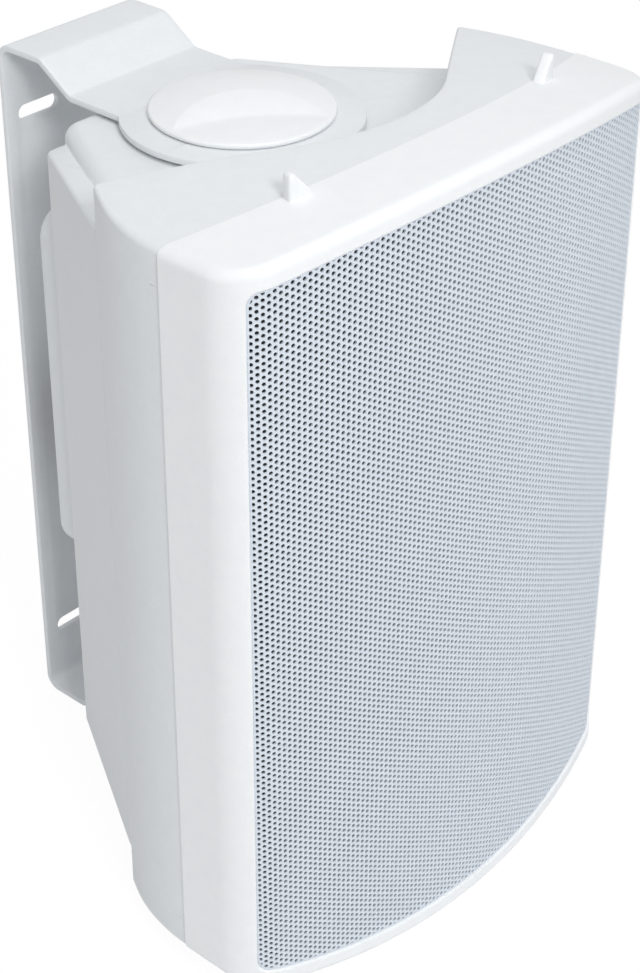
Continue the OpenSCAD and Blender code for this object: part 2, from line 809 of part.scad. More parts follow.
module voice_coil() {
    color("#b5622d") in_woofer() translate([0, 0, -woofer_d - 1]) difference() {
        cylinder(r = coil_r + coil_wall, h = woofer_d + 1 + cone_neck_z + 1.6);
        translate([0, 0, -1]) cylinder(r = coil_r, h = woofer_d + 10);
    }
}

module woofer_spider() {
    waves = 4;
    r0 = coil_r + coil_wall + 0.4;
    step = (spider_r + 0.4 - r0) / (2 * waves);
    color("#a8803c") in_woofer() rotate_extrude() translate([0, spider_z]) {
        polygon(concat([for (k = [0 : 2 * waves]) [r0 + k * step, k % 2 == 0 ? 0 : 1.6]],
                       [for (k = [2 * waves : -1 : 0]) [r0 + k * step, (k % 2 == 0 ? 0 : 1.6) + 0.7]]));
        translate([spider_r, basket_floor_z - spider_z]) square([1.4, spider_z - basket_floor_z + 0.7]);
    }
}

module woofer_top_plate() {
    color("#8e9498") in_woofer() translate([0, 0, -woofer_d - top_plate_t]) difference() {
        cylinder(r = magnet_r - 3, h = top_plate_t);
        translate([0, 0, -1]) cylinder(r = coil_r + coil_wall + coil_gap, h = top_plate_t + 2);
    }
}

module woofer_magnet() {
    color("#2b2d30") in_woofer() translate([0, 0, -woofer_d - top_plate_t - magnet_t]) difference() {
        cylinder(r = magnet_r, h = magnet_t);
        translate([0, 0, -1]) cylinder(r = coil_r + 9, h = magnet_t + 2);
    }
}

module woofer_pole_plate() {
    color("#8e9498") in_woofer() translate([0, 0, -woofer_d - top_plate_t - magnet_t - pole_plate_t]) difference() {
        union() {
            cylinder(r = magnet_r - 3, h = pole_plate_t);
            cylinder(r = coil_r - coil_gap, h = pole_plate_t + magnet_t + top_plate_t);
        }
        translate([0, 0, -1]) cylinder(r = 4, h = 60);
    }
}

// Places a tweeter piece, drawn from the baffle's front face and pointing forward
module in_tweeter() {
    in_cabinet() forward(0, -baffle_front, tweeter_z) children();
}

module tweeter_faceplate() {
    color("#34373a") in_tweeter() difference() {
        rotate_extrude() polygon([[tweeter_r, 0], [tweeter_r, 2.5], [tweeter_r - 1, 3.5], [34, 3.5], [dome_r + 4, 0.8],
                                  [dome_r + 3, 0.8], [dome_r + 3, 0]]);
        for (a = [45 : 90 : 315]) rotate(a) translate([tweeter_r - 5, 0, -1]) cylinder(r = driver_screw_r + 0.3, h = 8);
    }
}

module tweeter_dome() {
    rise = 5;
    big = arc_radius(dome_r, rise);
    color("#4d5054") in_tweeter() rotate_extrude() {
        intersection() {
            translate([0, rise - big]) difference() {
                circle(r = big, $fn = 180);
                circle(r = big - 0.6, $fn = 180);
            }
            square([dome_r, rise + 1]);
        }
        translate([dome_r - 0.8, 0]) square([3.4, 0.5]);
    }
}

module tweeter_cup() {
    color("#4a4d50") in_tweeter() translate([0, 0, -tweeter_magnet_t - tweeter_motor_t]) difference() {
        cylinder(r = tweeter_magnet_r + tweeter_cup_wall, h = tweeter_magnet_t + tweeter_motor_t);
        translate([0, 0, tweeter_cup_wall]) cylinder(r = tweeter_magnet_r + 0.3, h = 60);
    }
}

module tweeter_magnet() {
    color("#2b2d30") in_tweeter() translate([0, 0, tweeter_cup_wall - tweeter_magnet_t - tweeter_motor_t])
        difference() {
            cylinder(r = tweeter_magnet_r, h = tweeter_magnet_t);
            translate([0, 0, -1]) cylinder(r = dome_r + 4, h = tweeter_magnet_t + 2);
        }
}

module tweeter_motor_plate() {
    color("#8e9498") in_tweeter() translate([0, 0, tweeter_cup_wall - tweeter_motor_t]) difference() {
        cylinder(r = tweeter_magnet_r, h = tweeter_motor_t - tweeter_cup_wall);
        translate([0, 0, -1]) cylinder(r = dome_r + 1, h = tweeter_motor_t + 2);
    }
}

module tweeter_pole() {
    color("#8e9498") in_tweeter() translate([0, 0, tweeter_cup_wall - tweeter_magnet_t - tweeter_motor_t])
        cylinder(r = dome_r - 1.5, h = tweeter_magnet_t + tweeter_motor_t - tweeter_cup_wall);
}

module port_tube() {
    color("#2c2f31") in_cabinet() forward(port_x, -baffle_front, port_z) rotate_extrude() difference() {
        union() {
            translate([port_r, -port_l]) square([1.8, port_l + 1]);
            translate([port_r, 0]) square([5, 2]);
        }
        translate([port_r, 2]) circle(r = 1.2);
    }
}

module crossover_board() {
    color("#2f7d4f") in_cabinet() difference() {
        forward(0, board_y, board_z) linear_extrude(board_t) square([board_w, board_h], center = true);
        at_board_screws() forward(0, board_y + 5, 0) cylinder(r = driver_screw_r + 0.3, h = 20);
    }
}

// Places a component on the front of the crossover board
module on_board(x, z) {
    in_cabinet() forward(x, board_y - board_t, board_z + z) children();
}

module crossover_coils() {
    color("#b87333") for (p = [[-16, 18, 14, 16], [17, -20, 12, 13]]) on_board(p[0], p[1]) difference() {
        cylinder(r = p[2], h = p[3]);
        translate([0, 0, -1]) cylinder(r = p[2] * 0.45, h = p[3] + 2);
    }
}

module crossover_capacitors() {
    color("#27496d") {
        on_board(20, 14) translate([0, -13, 6.5]) rotate([-90, 0, 0]) cylinder(r = 6.5, h = 26);
        on_board(-18, -20) translate([0, -11, 5]) rotate([-90, 0, 0]) cylinder(r = 5, h = 22);
    }
}

module crossover_resistors() {
    color("#e8e4da") for (z = [-35.5, 36.5]) on_board(-2, z) translate([-11, -3.5, 0]) cube([22, 7, 7]);
}

module damping_pad() {
    depth = 29.2;
    back = rear_back - wall - 0.3;
    half = side_x(back) - (ledge_w + wall) / cos(cheek_angle) - 2;
    low = wall - floor_h + 16;
    high = plate_z - plate_h / 2 - 11;
    color("#cfd0cb") in_cabinet() translate([-half, back - depth, low]) cube([2 * half, depth, high - low]);
}

module terminal_plate() {
    plate_front = back_wall - gasket_t - 1.5;
    color("#1f2123") in_cabinet() difference() {
        union() {
            translate([-plate_w / 2 + 0.3, plate_front, plate_z - plate_h / 2 + 0.3])
                cube([plate_w - 0.6, 2.5, plate_h - 0.6]);
            translate([-plate_w / 2 + 6.3, back_wall - well_d - 2, plate_z - plate_h / 2 + 6.3])
                cube([plate_w - 12.6, well_d + 1, plate_h - 12.6]);
        }
        translate([-plate_w / 2 + 8.3, back_wall - well_d, plate_z - plate_h / 2 + 8.3])
            cube([plate_w - 16.6, well_d + 5, plate_h - 16.6]);
        at_posts() forward(0, back_wall, 0) cylinder(r = 2.5, h = 20);
        at_plate_screws() forward(0, back_wall + 5, 0) cylinder(r = driver_screw_r + 0.3, h = 14);
    }
}

module at_posts() {
    for (x = [-post_dx / 2, post_dx / 2]) translate([x, 0, plate_z]) children();
}

// Threaded stud of each terminal, with a nut inside the cabinet
module terminal_studs() {
    y = back_wall - well_d;
    color("#d8b563") in_cabinet() at_posts() {
        forward(0, y + 6, 0) cylinder(r = 2.45, h = 16);
        forward(0, y - 2, 0) cylinder(r = 4.5, h = 2.5, $fn = 6);
    }
}

// Screw cap of a terminal with a plug socket in its end
module terminal_cap(x) {
    y = back_wall - well_d;
    in_cabinet() translate([x, y + play, plate_z]) rotate([-90, 0, 0]) difference() {
        cylinder(r = post_r, h = post_l);
        translate([0, 0, -1]) cylinder(r = 2.5, h = 7.5);
        translate([0, 0, 1]) cylinder(r = socket_r, h = post_l);
        for (a = [0 : 30 : 330]) rotate(a) translate([post_r + 0.3, 0, 2]) cylinder(r = 0.9, h = post_l, $fn = 16);
    }
}

module red_terminal_cap() { color("#b3202a") terminal_cap(-post_dx / 2); }
module black_terminal_cap() { color("#1b1c1e") terminal_cap(post_dx / 2); }

// Pan-head screw that points backward, its head seated at zero
module screw(r, l) {
    rotate([90, 0, 0]) difference() {
        union() {
            translate([0, 0, -l]) cylinder(r = r - 0.05, h = l);
            cylinder(r1 = 2 * r, r2 = 1.4 * r, h = screw_head_h);
        }
        for (a = [0, 90]) rotate(a) translate([-r, -0.4, screw_head_h - 1]) cube([2 * r, 0.8, 2]);
    }
}

module front_screws() {
    color("#8b9094") in_cabinet() at_front_screws() translate([0, -baffle_front, 0])
        screw(front_screw_r, baffle_front + front_boss_back + 14);
}

module woofer_screws() {
    color("#303336") in_cabinet() for (a = [30 : 60 : 330])
        translate([(woofer_r - 5) * cos(a), -baffle_front - driver_flange_t, woofer_z + (woofer_r - 5) * sin(a)])
            screw(driver_screw_r, 12);
}

module tweeter_screws() {
    color("#303336") in_cabinet() for (a = [45 : 90 : 315])
        translate([(tweeter_r - 5) * cos(a), -baffle_front - 3.5, tweeter_z + (tweeter_r - 5) * sin(a)])
            screw(driver_screw_r, 12);
}

module terminal_screws() {
    color("#303336") in_cabinet() at_plate_screws() translate([0, back_wall, 0]) rotate(180) screw(driver_screw_r, 8);
}

module board_screws() {
    color("#8b9094") in_cabinet() at_board_screws() translate([0, board_y - board_t, 0]) screw(driver_screw_r, 10);
}

wall_bracket();
rear_cabinet();
front_frame();
grille();
grille_cloth();
seam_gasket();
swivel_inserts();
friction_washers();
upper_knob();
upper_clamp_screw();
lower_knob();
lower_clamp_screw();
woofer_basket();
woofer_gasket();
woofer_surround();
woofer_spider();
woofer_cone();
woofer_dust_cap();
voice_coil();
woofer_magnet();
woofer_top_plate();
woofer_pole_plate();
tweeter_faceplate();
tweeter_dome();
tweeter_magnet();
tweeter_motor_plate();
tweeter_pole();
tweeter_cup();
port_tube();
crossover_board();
crossover_coils();
crossover_capacitors();
crossover_resistors();
damping_pad();
terminal_plate();
terminal_studs();
red_terminal_cap();
black_terminal_cap();
front_screws();
woofer_screws();
tweeter_screws();
terminal_screws();
board_screws();
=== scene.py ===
"""Looks of a wall-mounted two-way loudspeaker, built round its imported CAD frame.

Shapes are worked out in millimetres. Pieces of the cabinet are drawn from the seam
corner, the point where the seam between cabinet and front frame meets the side, and
are moved into the row frame when their mesh is made.
"""

from __future__ import annotations

import json
import logging
import math
from dataclasses import dataclass, field
from enum import Enum
from typing import Any, Iterable, Sequence

import bmesh
import bpy
import numpy as np
from mathutils import Matrix, Vector

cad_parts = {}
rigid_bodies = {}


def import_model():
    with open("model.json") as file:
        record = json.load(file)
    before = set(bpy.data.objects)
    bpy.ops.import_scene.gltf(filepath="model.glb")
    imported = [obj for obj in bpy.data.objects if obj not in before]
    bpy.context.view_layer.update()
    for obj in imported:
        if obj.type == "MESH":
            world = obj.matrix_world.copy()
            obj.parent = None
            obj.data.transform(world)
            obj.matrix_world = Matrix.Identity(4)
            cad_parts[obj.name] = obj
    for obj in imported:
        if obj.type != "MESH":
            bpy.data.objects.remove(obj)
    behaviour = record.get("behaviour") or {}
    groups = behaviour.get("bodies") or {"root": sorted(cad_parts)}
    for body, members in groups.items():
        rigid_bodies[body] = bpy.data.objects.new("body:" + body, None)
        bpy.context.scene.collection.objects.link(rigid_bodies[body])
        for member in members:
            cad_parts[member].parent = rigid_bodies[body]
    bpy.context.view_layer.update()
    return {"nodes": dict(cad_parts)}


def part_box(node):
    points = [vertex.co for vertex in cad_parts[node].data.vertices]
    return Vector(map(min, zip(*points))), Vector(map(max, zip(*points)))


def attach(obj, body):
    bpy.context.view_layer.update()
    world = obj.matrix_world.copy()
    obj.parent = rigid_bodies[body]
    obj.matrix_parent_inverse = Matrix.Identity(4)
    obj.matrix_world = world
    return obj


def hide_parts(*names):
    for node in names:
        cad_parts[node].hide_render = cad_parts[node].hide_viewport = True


LOG = logging.getLogger("loudspeaker")
MM = 0.001
# Depths of the seam corner and of the swivel's axis.
SEAM_Y = -164.3
AXIS_Y = -96.3
# Steps along an outline's side, corner, rise and arch, round a rolled edge, and along walls.
SIDE_STEPS = 24
BEND_STEPS = 24
RISE_STEPS = 5
ARCH_STEPS = 60
ROLL_STEPS = 6
CURVE_STEPS = 25
PLANE_STEPS = 47
# Size of a finish's soft clouds, in grains of its relief.
CLOUD_GRAINS = 9


def linear(code: str) -> tuple[float, float, float, float]:
    """Turn an sRGB hex colour into linear RGBA.

    Args:
        code: Colour such as "#E6E9EB".

    Returns:
        Linear red, green, blue and an alpha of one.
    """
    parts = [int(code.lstrip("#")[k : k + 2], 16) / 255 for k in (0, 2, 4)]
    red, green, blue = (p / 12.92 if p <= 0.04045 else ((p + 0.055) / 1.055) ** 2.4 for p in parts)
    return red, green, blue, 1.0


def add(
    tree: bpy.types.NodeTree, kind: str, inputs: dict[Any, Any] | None = None, **settings: Any
) -> bpy.types.Node:
    """Add a node with its settings, and set or link its inputs.

    Args:
        tree: Node tree that takes the node.
        kind: Blender's type name of the node.
        inputs: Socket name or index, and its value or the output linked to it.
        **settings: Properties of the node itself.

    Returns:
        The new node.
    """
    made = tree.nodes.new(kind)
    for key, value in settings.items():
        setattr(made, key, value)
    for key, value in (inputs or {}).items():
        if isinstance(value, bpy.types.NodeSocket):
            tree.links.new(value, made.inputs[key])
        else:
            made.inputs[key].default_value = value
    return made


def calc(tree: bpy.types.NodeTree, operation: str, *values: Any) -> bpy.types.NodeSocket:
    """Add a maths node for values or outputs, and return its result."""
    return add(tree, "ShaderNodeMath", dict(enumerate(values)), operation=operation).outputs[0]


def joined(tree: bpy.types.NodeTree, *parts: bpy.types.NodeSocket) -> bpy.types.NodeSocket:
    """Add a node that joins geometries, and return its result."""
    both = add(tree, "GeometryNodeJoinGeometry")
    for part in parts:
        tree.links.new(part, both.inputs[0])
    return both.outputs[0]


def fresh_tree(owner: bpy.types.Material | bpy.types.World) -> bpy.types.NodeTree:
    """Switch nodes on and return the emptied tree."""
    owner.use_nodes = True
    owner.node_tree.nodes.clear()
    return owner.node_tree


def new_object(name: str, data: bpy.types.ID) -> bpy.types.Object:
    """Make an object and link it to the scene."""
    made = bpy.data.objects.new(name, data)
    bpy.context.scene.collection.objects.link(made)
    return made


def evaluated(shown: bpy.types.Object) -> bpy.types.Mesh:
    """Mesh of an object with its modifiers applied."""
    graph = bpy.context.evaluated_depsgraph_get()
    return bpy.data.meshes.new_from_object(shown.evaluated_get(graph))


class Pattern(Enum):
    """How a surface was made, which sets its relief."""

    SPARK_GRAIN = "moulded in a spark-eroded tool"
    POWDER_COAT = "sprayed powder, melted to an orange peel"
    SATIN = "plain satin moulding"
    WOVEN = "plain weave"
    BRUSHED = "drawn or turned metal"
    WOUND = "wire wound in layers"
    PULP = "pressed fibre"
    MOTTLED = "sintered or cast grains"


@dataclass(frozen=True)
class Finish:
    """One finish: its colours, its gloss and its relief.

    The grain is the size in millimetres of one feature of the relief, and the depth
    is its height in millimetres.
    """

    name: str
    colour: str
    shade: str
    roughness: float
    pattern: Pattern
    grain: float
    depth: float
    metallic: float = 0.0
    coat: float = 0.0
    sheen: float = 0.0

    def material(self) -> bpy.types.Material:
        """Build the finish once and return its material."""
        found = bpy.data.materials.get(self.name)
        if found:
            return found
        made = bpy.data.materials.new(self.name)
        tree = fresh_tree(made)
        where = add(tree, "ShaderNodeTexCoord").outputs["Object"]
        relief = self.relief(tree, where)
        spread = {"Scale": 1 / (self.grain * CLOUD_GRAINS * MM), "Detail": 4.0, "Roughness": 0.55}
        cloud = add(tree, "ShaderNodeTexNoise", {"Vector": where, **spread}).outputs["Fac"]
        both = calc(tree, "MULTIPLY_ADD", cloud, 0.5, calc(tree, "MULTIPLY", relief, 0.5))
        tone = add(tree, "ShaderNodeValToRGB", {"Fac": both})
        for stop, level, code in zip(tone.color_ramp.elements, (0.3, 0.7), (self.shade, self.colour)):
            stop.position, stop.color = level, linear(code)
        dull = {"To Min": self.roughness - 0.05, "To Max": self.roughness + 0.06}
        gloss = add(tree, "ShaderNodeMapRange", {"Value": cloud, **dull})
        bump = add(tree, "ShaderNodeBump", {"Height": relief, "Strength": 0.6, "Distance": self.depth * MM})
        look = {"Base Color": tone.outputs[0], "Roughness": gloss.outputs[0], "Normal": bump.outputs[0]}
        look |= {"Metallic": self.metallic, "Coat Weight": self.coat, "Sheen Weight": self.sheen}
        skin = add(tree, "ShaderNodeBsdfPrincipled", look)
        add(tree, "ShaderNodeOutputMaterial", {"Surface": skin.outputs["BSDF"]})
        return made

    def relief(self, tree: bpy.types.NodeTree, where: bpy.types.NodeSocket) -> bpy.types.NodeSocket:
        """Build the pattern's height.

        Args:
            tree: Tree of the material.
            where: Object coordinates.

        Returns:
            The socket that gives the height, from zero to one.
        """
        scale = 1 / (self.grain * MM)
        if self.pattern is Pattern.WOVEN:
            wave = {"Vector": where, "Scale": scale / math.tau * 2, "Distortion": 0.3, "Detail": 1.0}
            threads = [add(tree, "ShaderNodeTexWave", wave, bands_direction=axis) for axis in "XZ"]
            return calc(tree, "MAXIMUM", *(thread.outputs["Fac"] for thread in threads))
        if self.pattern is Pattern.MOTTLED:
            return add(tree, "ShaderNodeTexVoronoi", {"Vector": where, "Scale": scale}).outputs["Distance"]
        noise = {"Vector": where, "Scale": scale, "Roughness": 0.5}
        if self.pattern in (Pattern.BRUSHED, Pattern.WOUND):
            stretch = (1.0, 1.0, 12.0) if self.pattern is Pattern.BRUSHED else (1.0, 14.0, 1.0)
            moved = add(tree, "ShaderNodeMapping", {"Vector": where, "Scale": stretch})
            noise |= {"Vector": moved.outputs[0], "Scale": scale / 6, "Detail": 3.0}
        else:
            fine = {Pattern.SATIN: 1.0, Pattern.SPARK_GRAIN: 2.5, Pattern.POWDER_COAT: 1.5, Pattern.PULP: 8.0}
            noise["Detail"] = fine[self.pattern]
        return add(tree, "ShaderNodeTexNoise", noise).outputs["Fac"]


# Fine spark grain: a soft white plastic whose highlights break into small sparkles.
CABINET_ABS = Finish("moulded_abs_white", "#E9ECEE", "#E3E6E8", 0.42, Pattern.SPARK_GRAIN, 0.7, 0.035)
FRAME_ABS = Finish("moulded_abs_bright_white", "#F3F5F6", "#EEF0F2", 0.38, Pattern.SPARK_GRAIN, 0.7, 0.03)
# Powder coat: a thin even skin with a slight orange peel and soft highlights.
BRACKET_COAT = Finish("powder_coat_white", "#E8EBED", "#E2E5E8", 0.42, Pattern.POWDER_COAT, 0.9, 0.03)
GRILLE_COAT = Finish("powder_coat_grille", "#DBE2EA", "#D4DCE5", 0.45, Pattern.POWDER_COAT, 0.6, 0.02)
# Thin dust cloth, its colour darkened to near-black as painted shade so that the holes in front of it stay
# dark; dull. Threads drawn at 0.8 mm to show.
DUST_CLOTH = Finish("acoustic_cloth", "#1C2022", "#14171A", 0.95, Pattern.WOVEN, 0.8, 0.1)
FOAM = Finish("closed_cell_foam", "#2A2C2E", "#1D1F20", 0.9, Pattern.PULP, 0.6, 0.08)
RUBBER = Finish("moulded_rubber", "#202223", "#191A1B", 0.7, Pattern.SATIN, 0.8, 0.02)
BRASS = Finish("turned_brass", "#D9B25F", "#C49A48", 0.28, Pattern.BRUSHED, 0.3, 0.01, metallic=1.0)
ZINC = Finish("zinc_plated_steel", "#B9BDC1", "#A5AAAE", 0.35, Pattern.BRUSHED, 0.3, 0.01, metallic=1.0)
BLACK_STEEL = Finish("black_painted_steel", "#2B2E31", "#232629", 0.45, Pattern.POWDER_COAT, 0.9, 0.02)
MOTOR_STEEL = Finish("plated_motor_steel", "#9EA3A7", "#8A8F94", 0.4, Pattern.BRUSHED, 0.4, 0.01, metallic=1)
CONE_PULP = Finish("pressed_cone_pulp", "#DAD8D0", "#CCC9BF", 0.85, Pattern.PULP, 1.2, 0.12)
SPIDER_CLOTH = Finish("resin_set_cloth", "#B08A48", "#97743A", 0.8, Pattern.WOVEN, 0.8, 0.08)
COPPER = Finish("lacquered_copper_wire", "#B86F3C", "#96552B", 0.3, Pattern.WOUND, 0.8, 0.08, metallic=1.0)
FERRITE = Finish("sintered_ferrite", "#37393B", "#2B2D2F", 0.7, Pattern.MOTTLED, 0.5, 0.02)
BLACK_ABS = Finish("moulded_abs_black", "#2A2C2E", "#222425", 0.45, Pattern.SPARK_GRAIN, 0.7, 0.03)
BOARD = Finish("glass_fibre_board", "#2F7A4C", "#27683F", 0.35, Pattern.WOVEN, 1.0, 0.01, coat=0.3)
FILM_CAP = Finish("film_capacitor_sleeve", "#2B4D78", "#234165", 0.25, Pattern.SATIN, 1.0, 0.01, coat=0.4)
CEMENT = Finish("cement_resistor_body", "#E4DFD3", "#D4CEC0", 0.8, Pattern.MOTTLED, 0.7, 0.03)
WADDING = Finish("polyester_wadding", "#E4E4E0", "#CFCFCA", 0.95, Pattern.PULP, 1.5, 0.5, sheen=0.4)
RED_ABS = Finish("moulded_abs_red", "#B3262C", "#9C1E24", 0.3, Pattern.SATIN, 1.0, 0.01, coat=0.2)

NODE_FINISHES: dict[Finish, tuple[str, ...]] = {
    FOAM: ("seam_gasket", "woofer_gasket"),
    BRASS: ("swivel_inserts", "terminal_studs"),
    RUBBER: ("friction_washers", "woofer_surround", "woofer_dust_cap"),
    ZINC: ("upper_clamp_screw", "lower_clamp_screw", "front_screws", "board_screws"),
    BLACK_STEEL: ("woofer_basket", "tweeter_cup", "woofer_screws", "tweeter_screws", "terminal_screws"),
    SPIDER_CLOTH: ("woofer_spider",),
    CONE_PULP: ("woofer_cone",),
    COPPER: ("voice_coil", "crossover_coils"),
    FERRITE: ("woofer_magnet", "tweeter_magnet"),
    MOTOR_STEEL: ("woofer_top_plate", "woofer_pole_plate", "tweeter_motor_plate", "tweeter_pole"),
    BLACK_ABS: ("tweeter_faceplate", "port_tube", "terminal_plate", "black_terminal_cap"),
    DUST_CLOTH: ("tweeter_dome",),
    BOARD: ("crossover_board",),
    FILM_CAP: ("crossover_capacitors",),
    CEMENT: ("crossover_resistors",),
    RED_ABS: ("red_terminal_cap",),
}


class MeshPad:
    """Gathers grids of points into one closed, smoothly shaded mesh."""

    def __init__(self, name: str, shift_y: float = SEAM_Y) -> None:
        """Start an empty pad whose points are moved along Y when the mesh is made."""
        self.name = name
        self.shift = np.array([0.0, shift_y, 0.0])
        self.points: list[np.ndarray] = []
        self.faces: list[tuple[int, ...]] = []

    def grid(self, rows: np.ndarray, wrap_rows: bool = False, wrap_columns: bool = False) -> None:
        """Add a grid of quads.

        Args:
            rows: Array of rows, columns and three coordinates.
            wrap_rows: Whether the last row joins the first.
            wrap_columns: Whether the last column joins the first.
        """
        rows = np.asarray(rows, float)
        m, n = rows.shape[:2]
        start = sum(len(part) for part in self.points)
        self.points.append(rows.reshape(-1, 3))
        for j in range(m if wrap_rows else m - 1):
            a, b = start + j * n, start + ((j + 1) % m) * n
            for i in range(n if wrap_columns else n - 1):
                k = (i + 1) % n
                self.faces.append((a + i, a + k, b + k, b + i))

    def build(self, finish: Finish, sharp: float = 38.0) -> bpy.types.Object:
        """Make the mesh and finish it, with edges above the sharp angle crisp."""
        points = (np.concatenate(self.points) + self.shift) * MM
        mesh = bpy.data.meshes.new(self.name)
        mesh.from_pydata(points.tolist(), [], self.faces)
        return finish_mesh(self.name, mesh, finish, sharp)


def finish_mesh(
    name: str, mesh: bpy.types.Mesh, finish: Finish, sharp: float = 38.0, merge: float = 0.02
) -> bpy.types.Object:
    """Clean a mesh and link it as an object.

    Args:
        name: Name of the piece.
        mesh: Mesh in metres, in the row frame.
        finish: Finish of the piece.
        sharp: Angle in degrees above which an edge stays crisp.
        merge: Distance in millimetres below which points are one.

    Returns:
        The linked object.
    """
    work = bmesh.new()
    work.from_mesh(mesh)
    bmesh.ops.remove_doubles(work, verts=work.verts, dist=merge * MM)
    bmesh.ops.dissolve_degenerate(work, edges=work.edges, dist=merge * MM * 0.5)
    bmesh.ops.recalc_face_normals(work, faces=work.faces)
    for face in work.faces:
        face.smooth = True
    for edge in work.edges:
        edge.smooth = edge.calc_face_angle(math.pi) < math.radians(sharp)
    work.to_mesh(mesh)
    work.free()
    mesh.materials.clear()
    mesh.materials.append(finish.material())
    return new_object(name, mesh)


def finish_work(
    name: str, work: bmesh.types.BMesh, finish: Finish, sharp: float = 38.0, merge: float = 0.02
) -> bpy.types.Object:
    """Turn a working mesh, in metres, into a finished piece and free it."""
    mesh = bpy.data.meshes.new(name)
    work.to_mesh(mesh)
    work.free()
    return finish_mesh(name, mesh, finish, sharp, merge)


def place(piece: bpy.types.Object, body: str, nodes: Sequence[str] = ()) -> None:
    """Let a piece ride on its body and stand for its CAD nodes."""
    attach(piece, body)
    if nodes:
        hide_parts(*nodes)
    LOG.info("%s: %d faces on %s", piece.name, len(piece.data.polygons), body)


def arc_radius(half: float, rise: float) -> float:
    """Radius of the arc with this half chord and rise."""
    return (half * half + rise * rise) / (2 * rise)


@dataclass(frozen=True)
class BodyLines:
    """Lines that cabinet, frame and grille share, in millimetres from the seam corner."""

    half_w: float = 109.0
    half_h: float = 150.0
    crown: float = 11.9
    seam_bow: float = 23.0

    def seam(self, x: np.ndarray) -> np.ndarray:
        """How far the bowed seam stands forward at x."""
        r = arc_radius(self.half_w, self.seam_bow)
        return np.sqrt(r * r - np.minimum(np.abs(x), self.half_w) ** 2) - (r - self.seam_bow)

    def crown_z(self, x: np.ndarray | float, inset: float = 0.0) -> np.ndarray:
        """Height of the arched top at x, set in by an amount."""
        r = arc_radius(self.half_w, self.crown)
        return np.sqrt((r - inset) ** 2 - np.asarray(x) ** 2) + self.half_h + self.crown - r

    def outline(self, corner: float, inset: float, steps: int = 10, span: int = 64) -> np.ndarray:
        """Closed front outline with an arched top and bottom and round corners.

        Args:
            corner: Radius of the corners.
            inset: How far it lies inside the body's own outline.
            steps: Points of each corner.
            span: Points of each arch.

        Returns:
            Array of x and z, running once round.
        """
        big = arc_radius(self.half_w, self.crown) - inset
        cz0 = self.half_h + self.crown - arc_radius(self.half_w, self.crown)
        cx = self.half_w - inset - corner
        cz = cz0 + math.sqrt((big - corner) ** 2 - cx * cx)
        turn = math.atan2(cz - cz0, cx)
        a = np.linspace(0, turn, steps + 1)
        right = np.c_[cx + corner * np.cos(a), cz + corner * np.sin(a)]
        b = np.linspace(turn, math.pi - turn, span + 1)[1:-1]
        arch = np.c_[big * np.cos(b), cz0 + big * np.sin(b)]
        up = np.r_[right, arch, right[::-1] * [-1, 1]]
        return np.r_[up, up[::-1] * [1, -1]]


def mirrored(half: np.ndarray) -> np.ndarray:
    """Right half of an upper outline, followed by its mirror image."""
    return np.r_[half, half[-2::-1] * [-1, 1]]


@dataclass
class FrontFace:
    """Upright front face: a shallow bow in plan that turns through a tight arc into each side.

    A place on it is the length along the plan line from its middle, and the height.
    """

    lines: BodyLines = field(default_factory=BodyLines)
    half: float = 109.8
    side_r: float = 20.0
    side_depth: float = 20.0
    turn: float = math.radians(17)
    seam_gap: float = 0.5
    proud: float = 0.8

    @property
    def bow_r(self) -> float:
        """Radius of the shallow bow."""
        return self.side_r + (self.half - self.side_r) / math.sin(self.turn)

    @property
    def bow_end(self) -> float:
        """Length at which the bow gives way to the tight arc."""
        return self.bow_r * self.turn

    @property
    def arc_end(self) -> float:
        """Length at which the tight arc gives way to the straight side."""
        return self.bow_end + self.side_r * (math.pi / 2 - self.turn)

    @property
    def seam_end(self) -> float:
        """Length at which the side meets the seam."""
        return self.arc_end + self.side_depth - self.seam_gap

    def plan(
        self, s: np.ndarray | float, out: np.ndarray | float = 0.0
    ) -> tuple[np.ndarray, np.ndarray]:
        """Plan of the face.

        Args:
            s: Lengths along the plan line.
            out: How far each point stands outside the face.

        Returns:
            x and the depth in front of the seam corner.
        """
        reach = np.abs(s)
        bowed = reach < self.bow_end
        angle = np.where(bowed, reach / self.bow_r, self.turn + (reach - self.bow_end) / self.side_r)
        angle = np.minimum(angle, math.pi / 2)
        radius = np.where(bowed, self.bow_r, self.side_r) + out
        deep = self.side_depth - (self.bow_r - self.side_r) * math.cos(self.turn)
        x = np.where(bowed, 0.0, self.half - self.side_r) + radius * np.sin(angle)
        depth = np.where(bowed, deep, self.side_depth) + radius * np.cos(angle)
        return np.sign(s) * x, depth - np.maximum(reach - self.arc_end, 0.0)

    def at(self, s: np.ndarray, z: np.ndarray, out: np.ndarray | float = 0.0) -> np.ndarray:
        """Points of the face at lengths s and heights z, moved outwards."""
        x, depth = self.plan(s, out)
        return np.stack([x, -depth, np.broadcast_to(z, np.shape(x))], -1)

    def top(self, s: np.ndarray | float, inset: float) -> np.ndarray:
        """Height of the arched top at lengths s, set in by an amount."""
        x, _ = self.plan(s)
        return self.lines.crown_z(x, inset - self.proud)

    def opening(self, reach: float, corner: float, inset: float) -> np.ndarray:
        """Upper half of a round-cornered outline, as lengths and heights from right to left.

        Args:
            reach: Length from the middle to the outline's side.
            corner: Radius of its corners.
            inset: How far it lies below the arched top.

        Returns:
            Points of the outline, from the middle of one side over the top to the other.
        """
        start = reach - corner
        z0 = float(self.top(start, inset)) - corner
        a = np.linspace(0, math.pi / 2, BEND_STEPS + 1)
        side = np.c_[np.full(SIDE_STEPS, reach), np.linspace(0, z0, SIDE_STEPS + 1)[:-1]]
        bend = np.c_[start + corner * np.cos(a), z0 + corner * np.sin(a)]
        run = np.linspace(start, 0, ARCH_STEPS + 1)[1:]
        return mirrored(np.r_[side, bend, np.c_[run, self.top(run, inset)]])


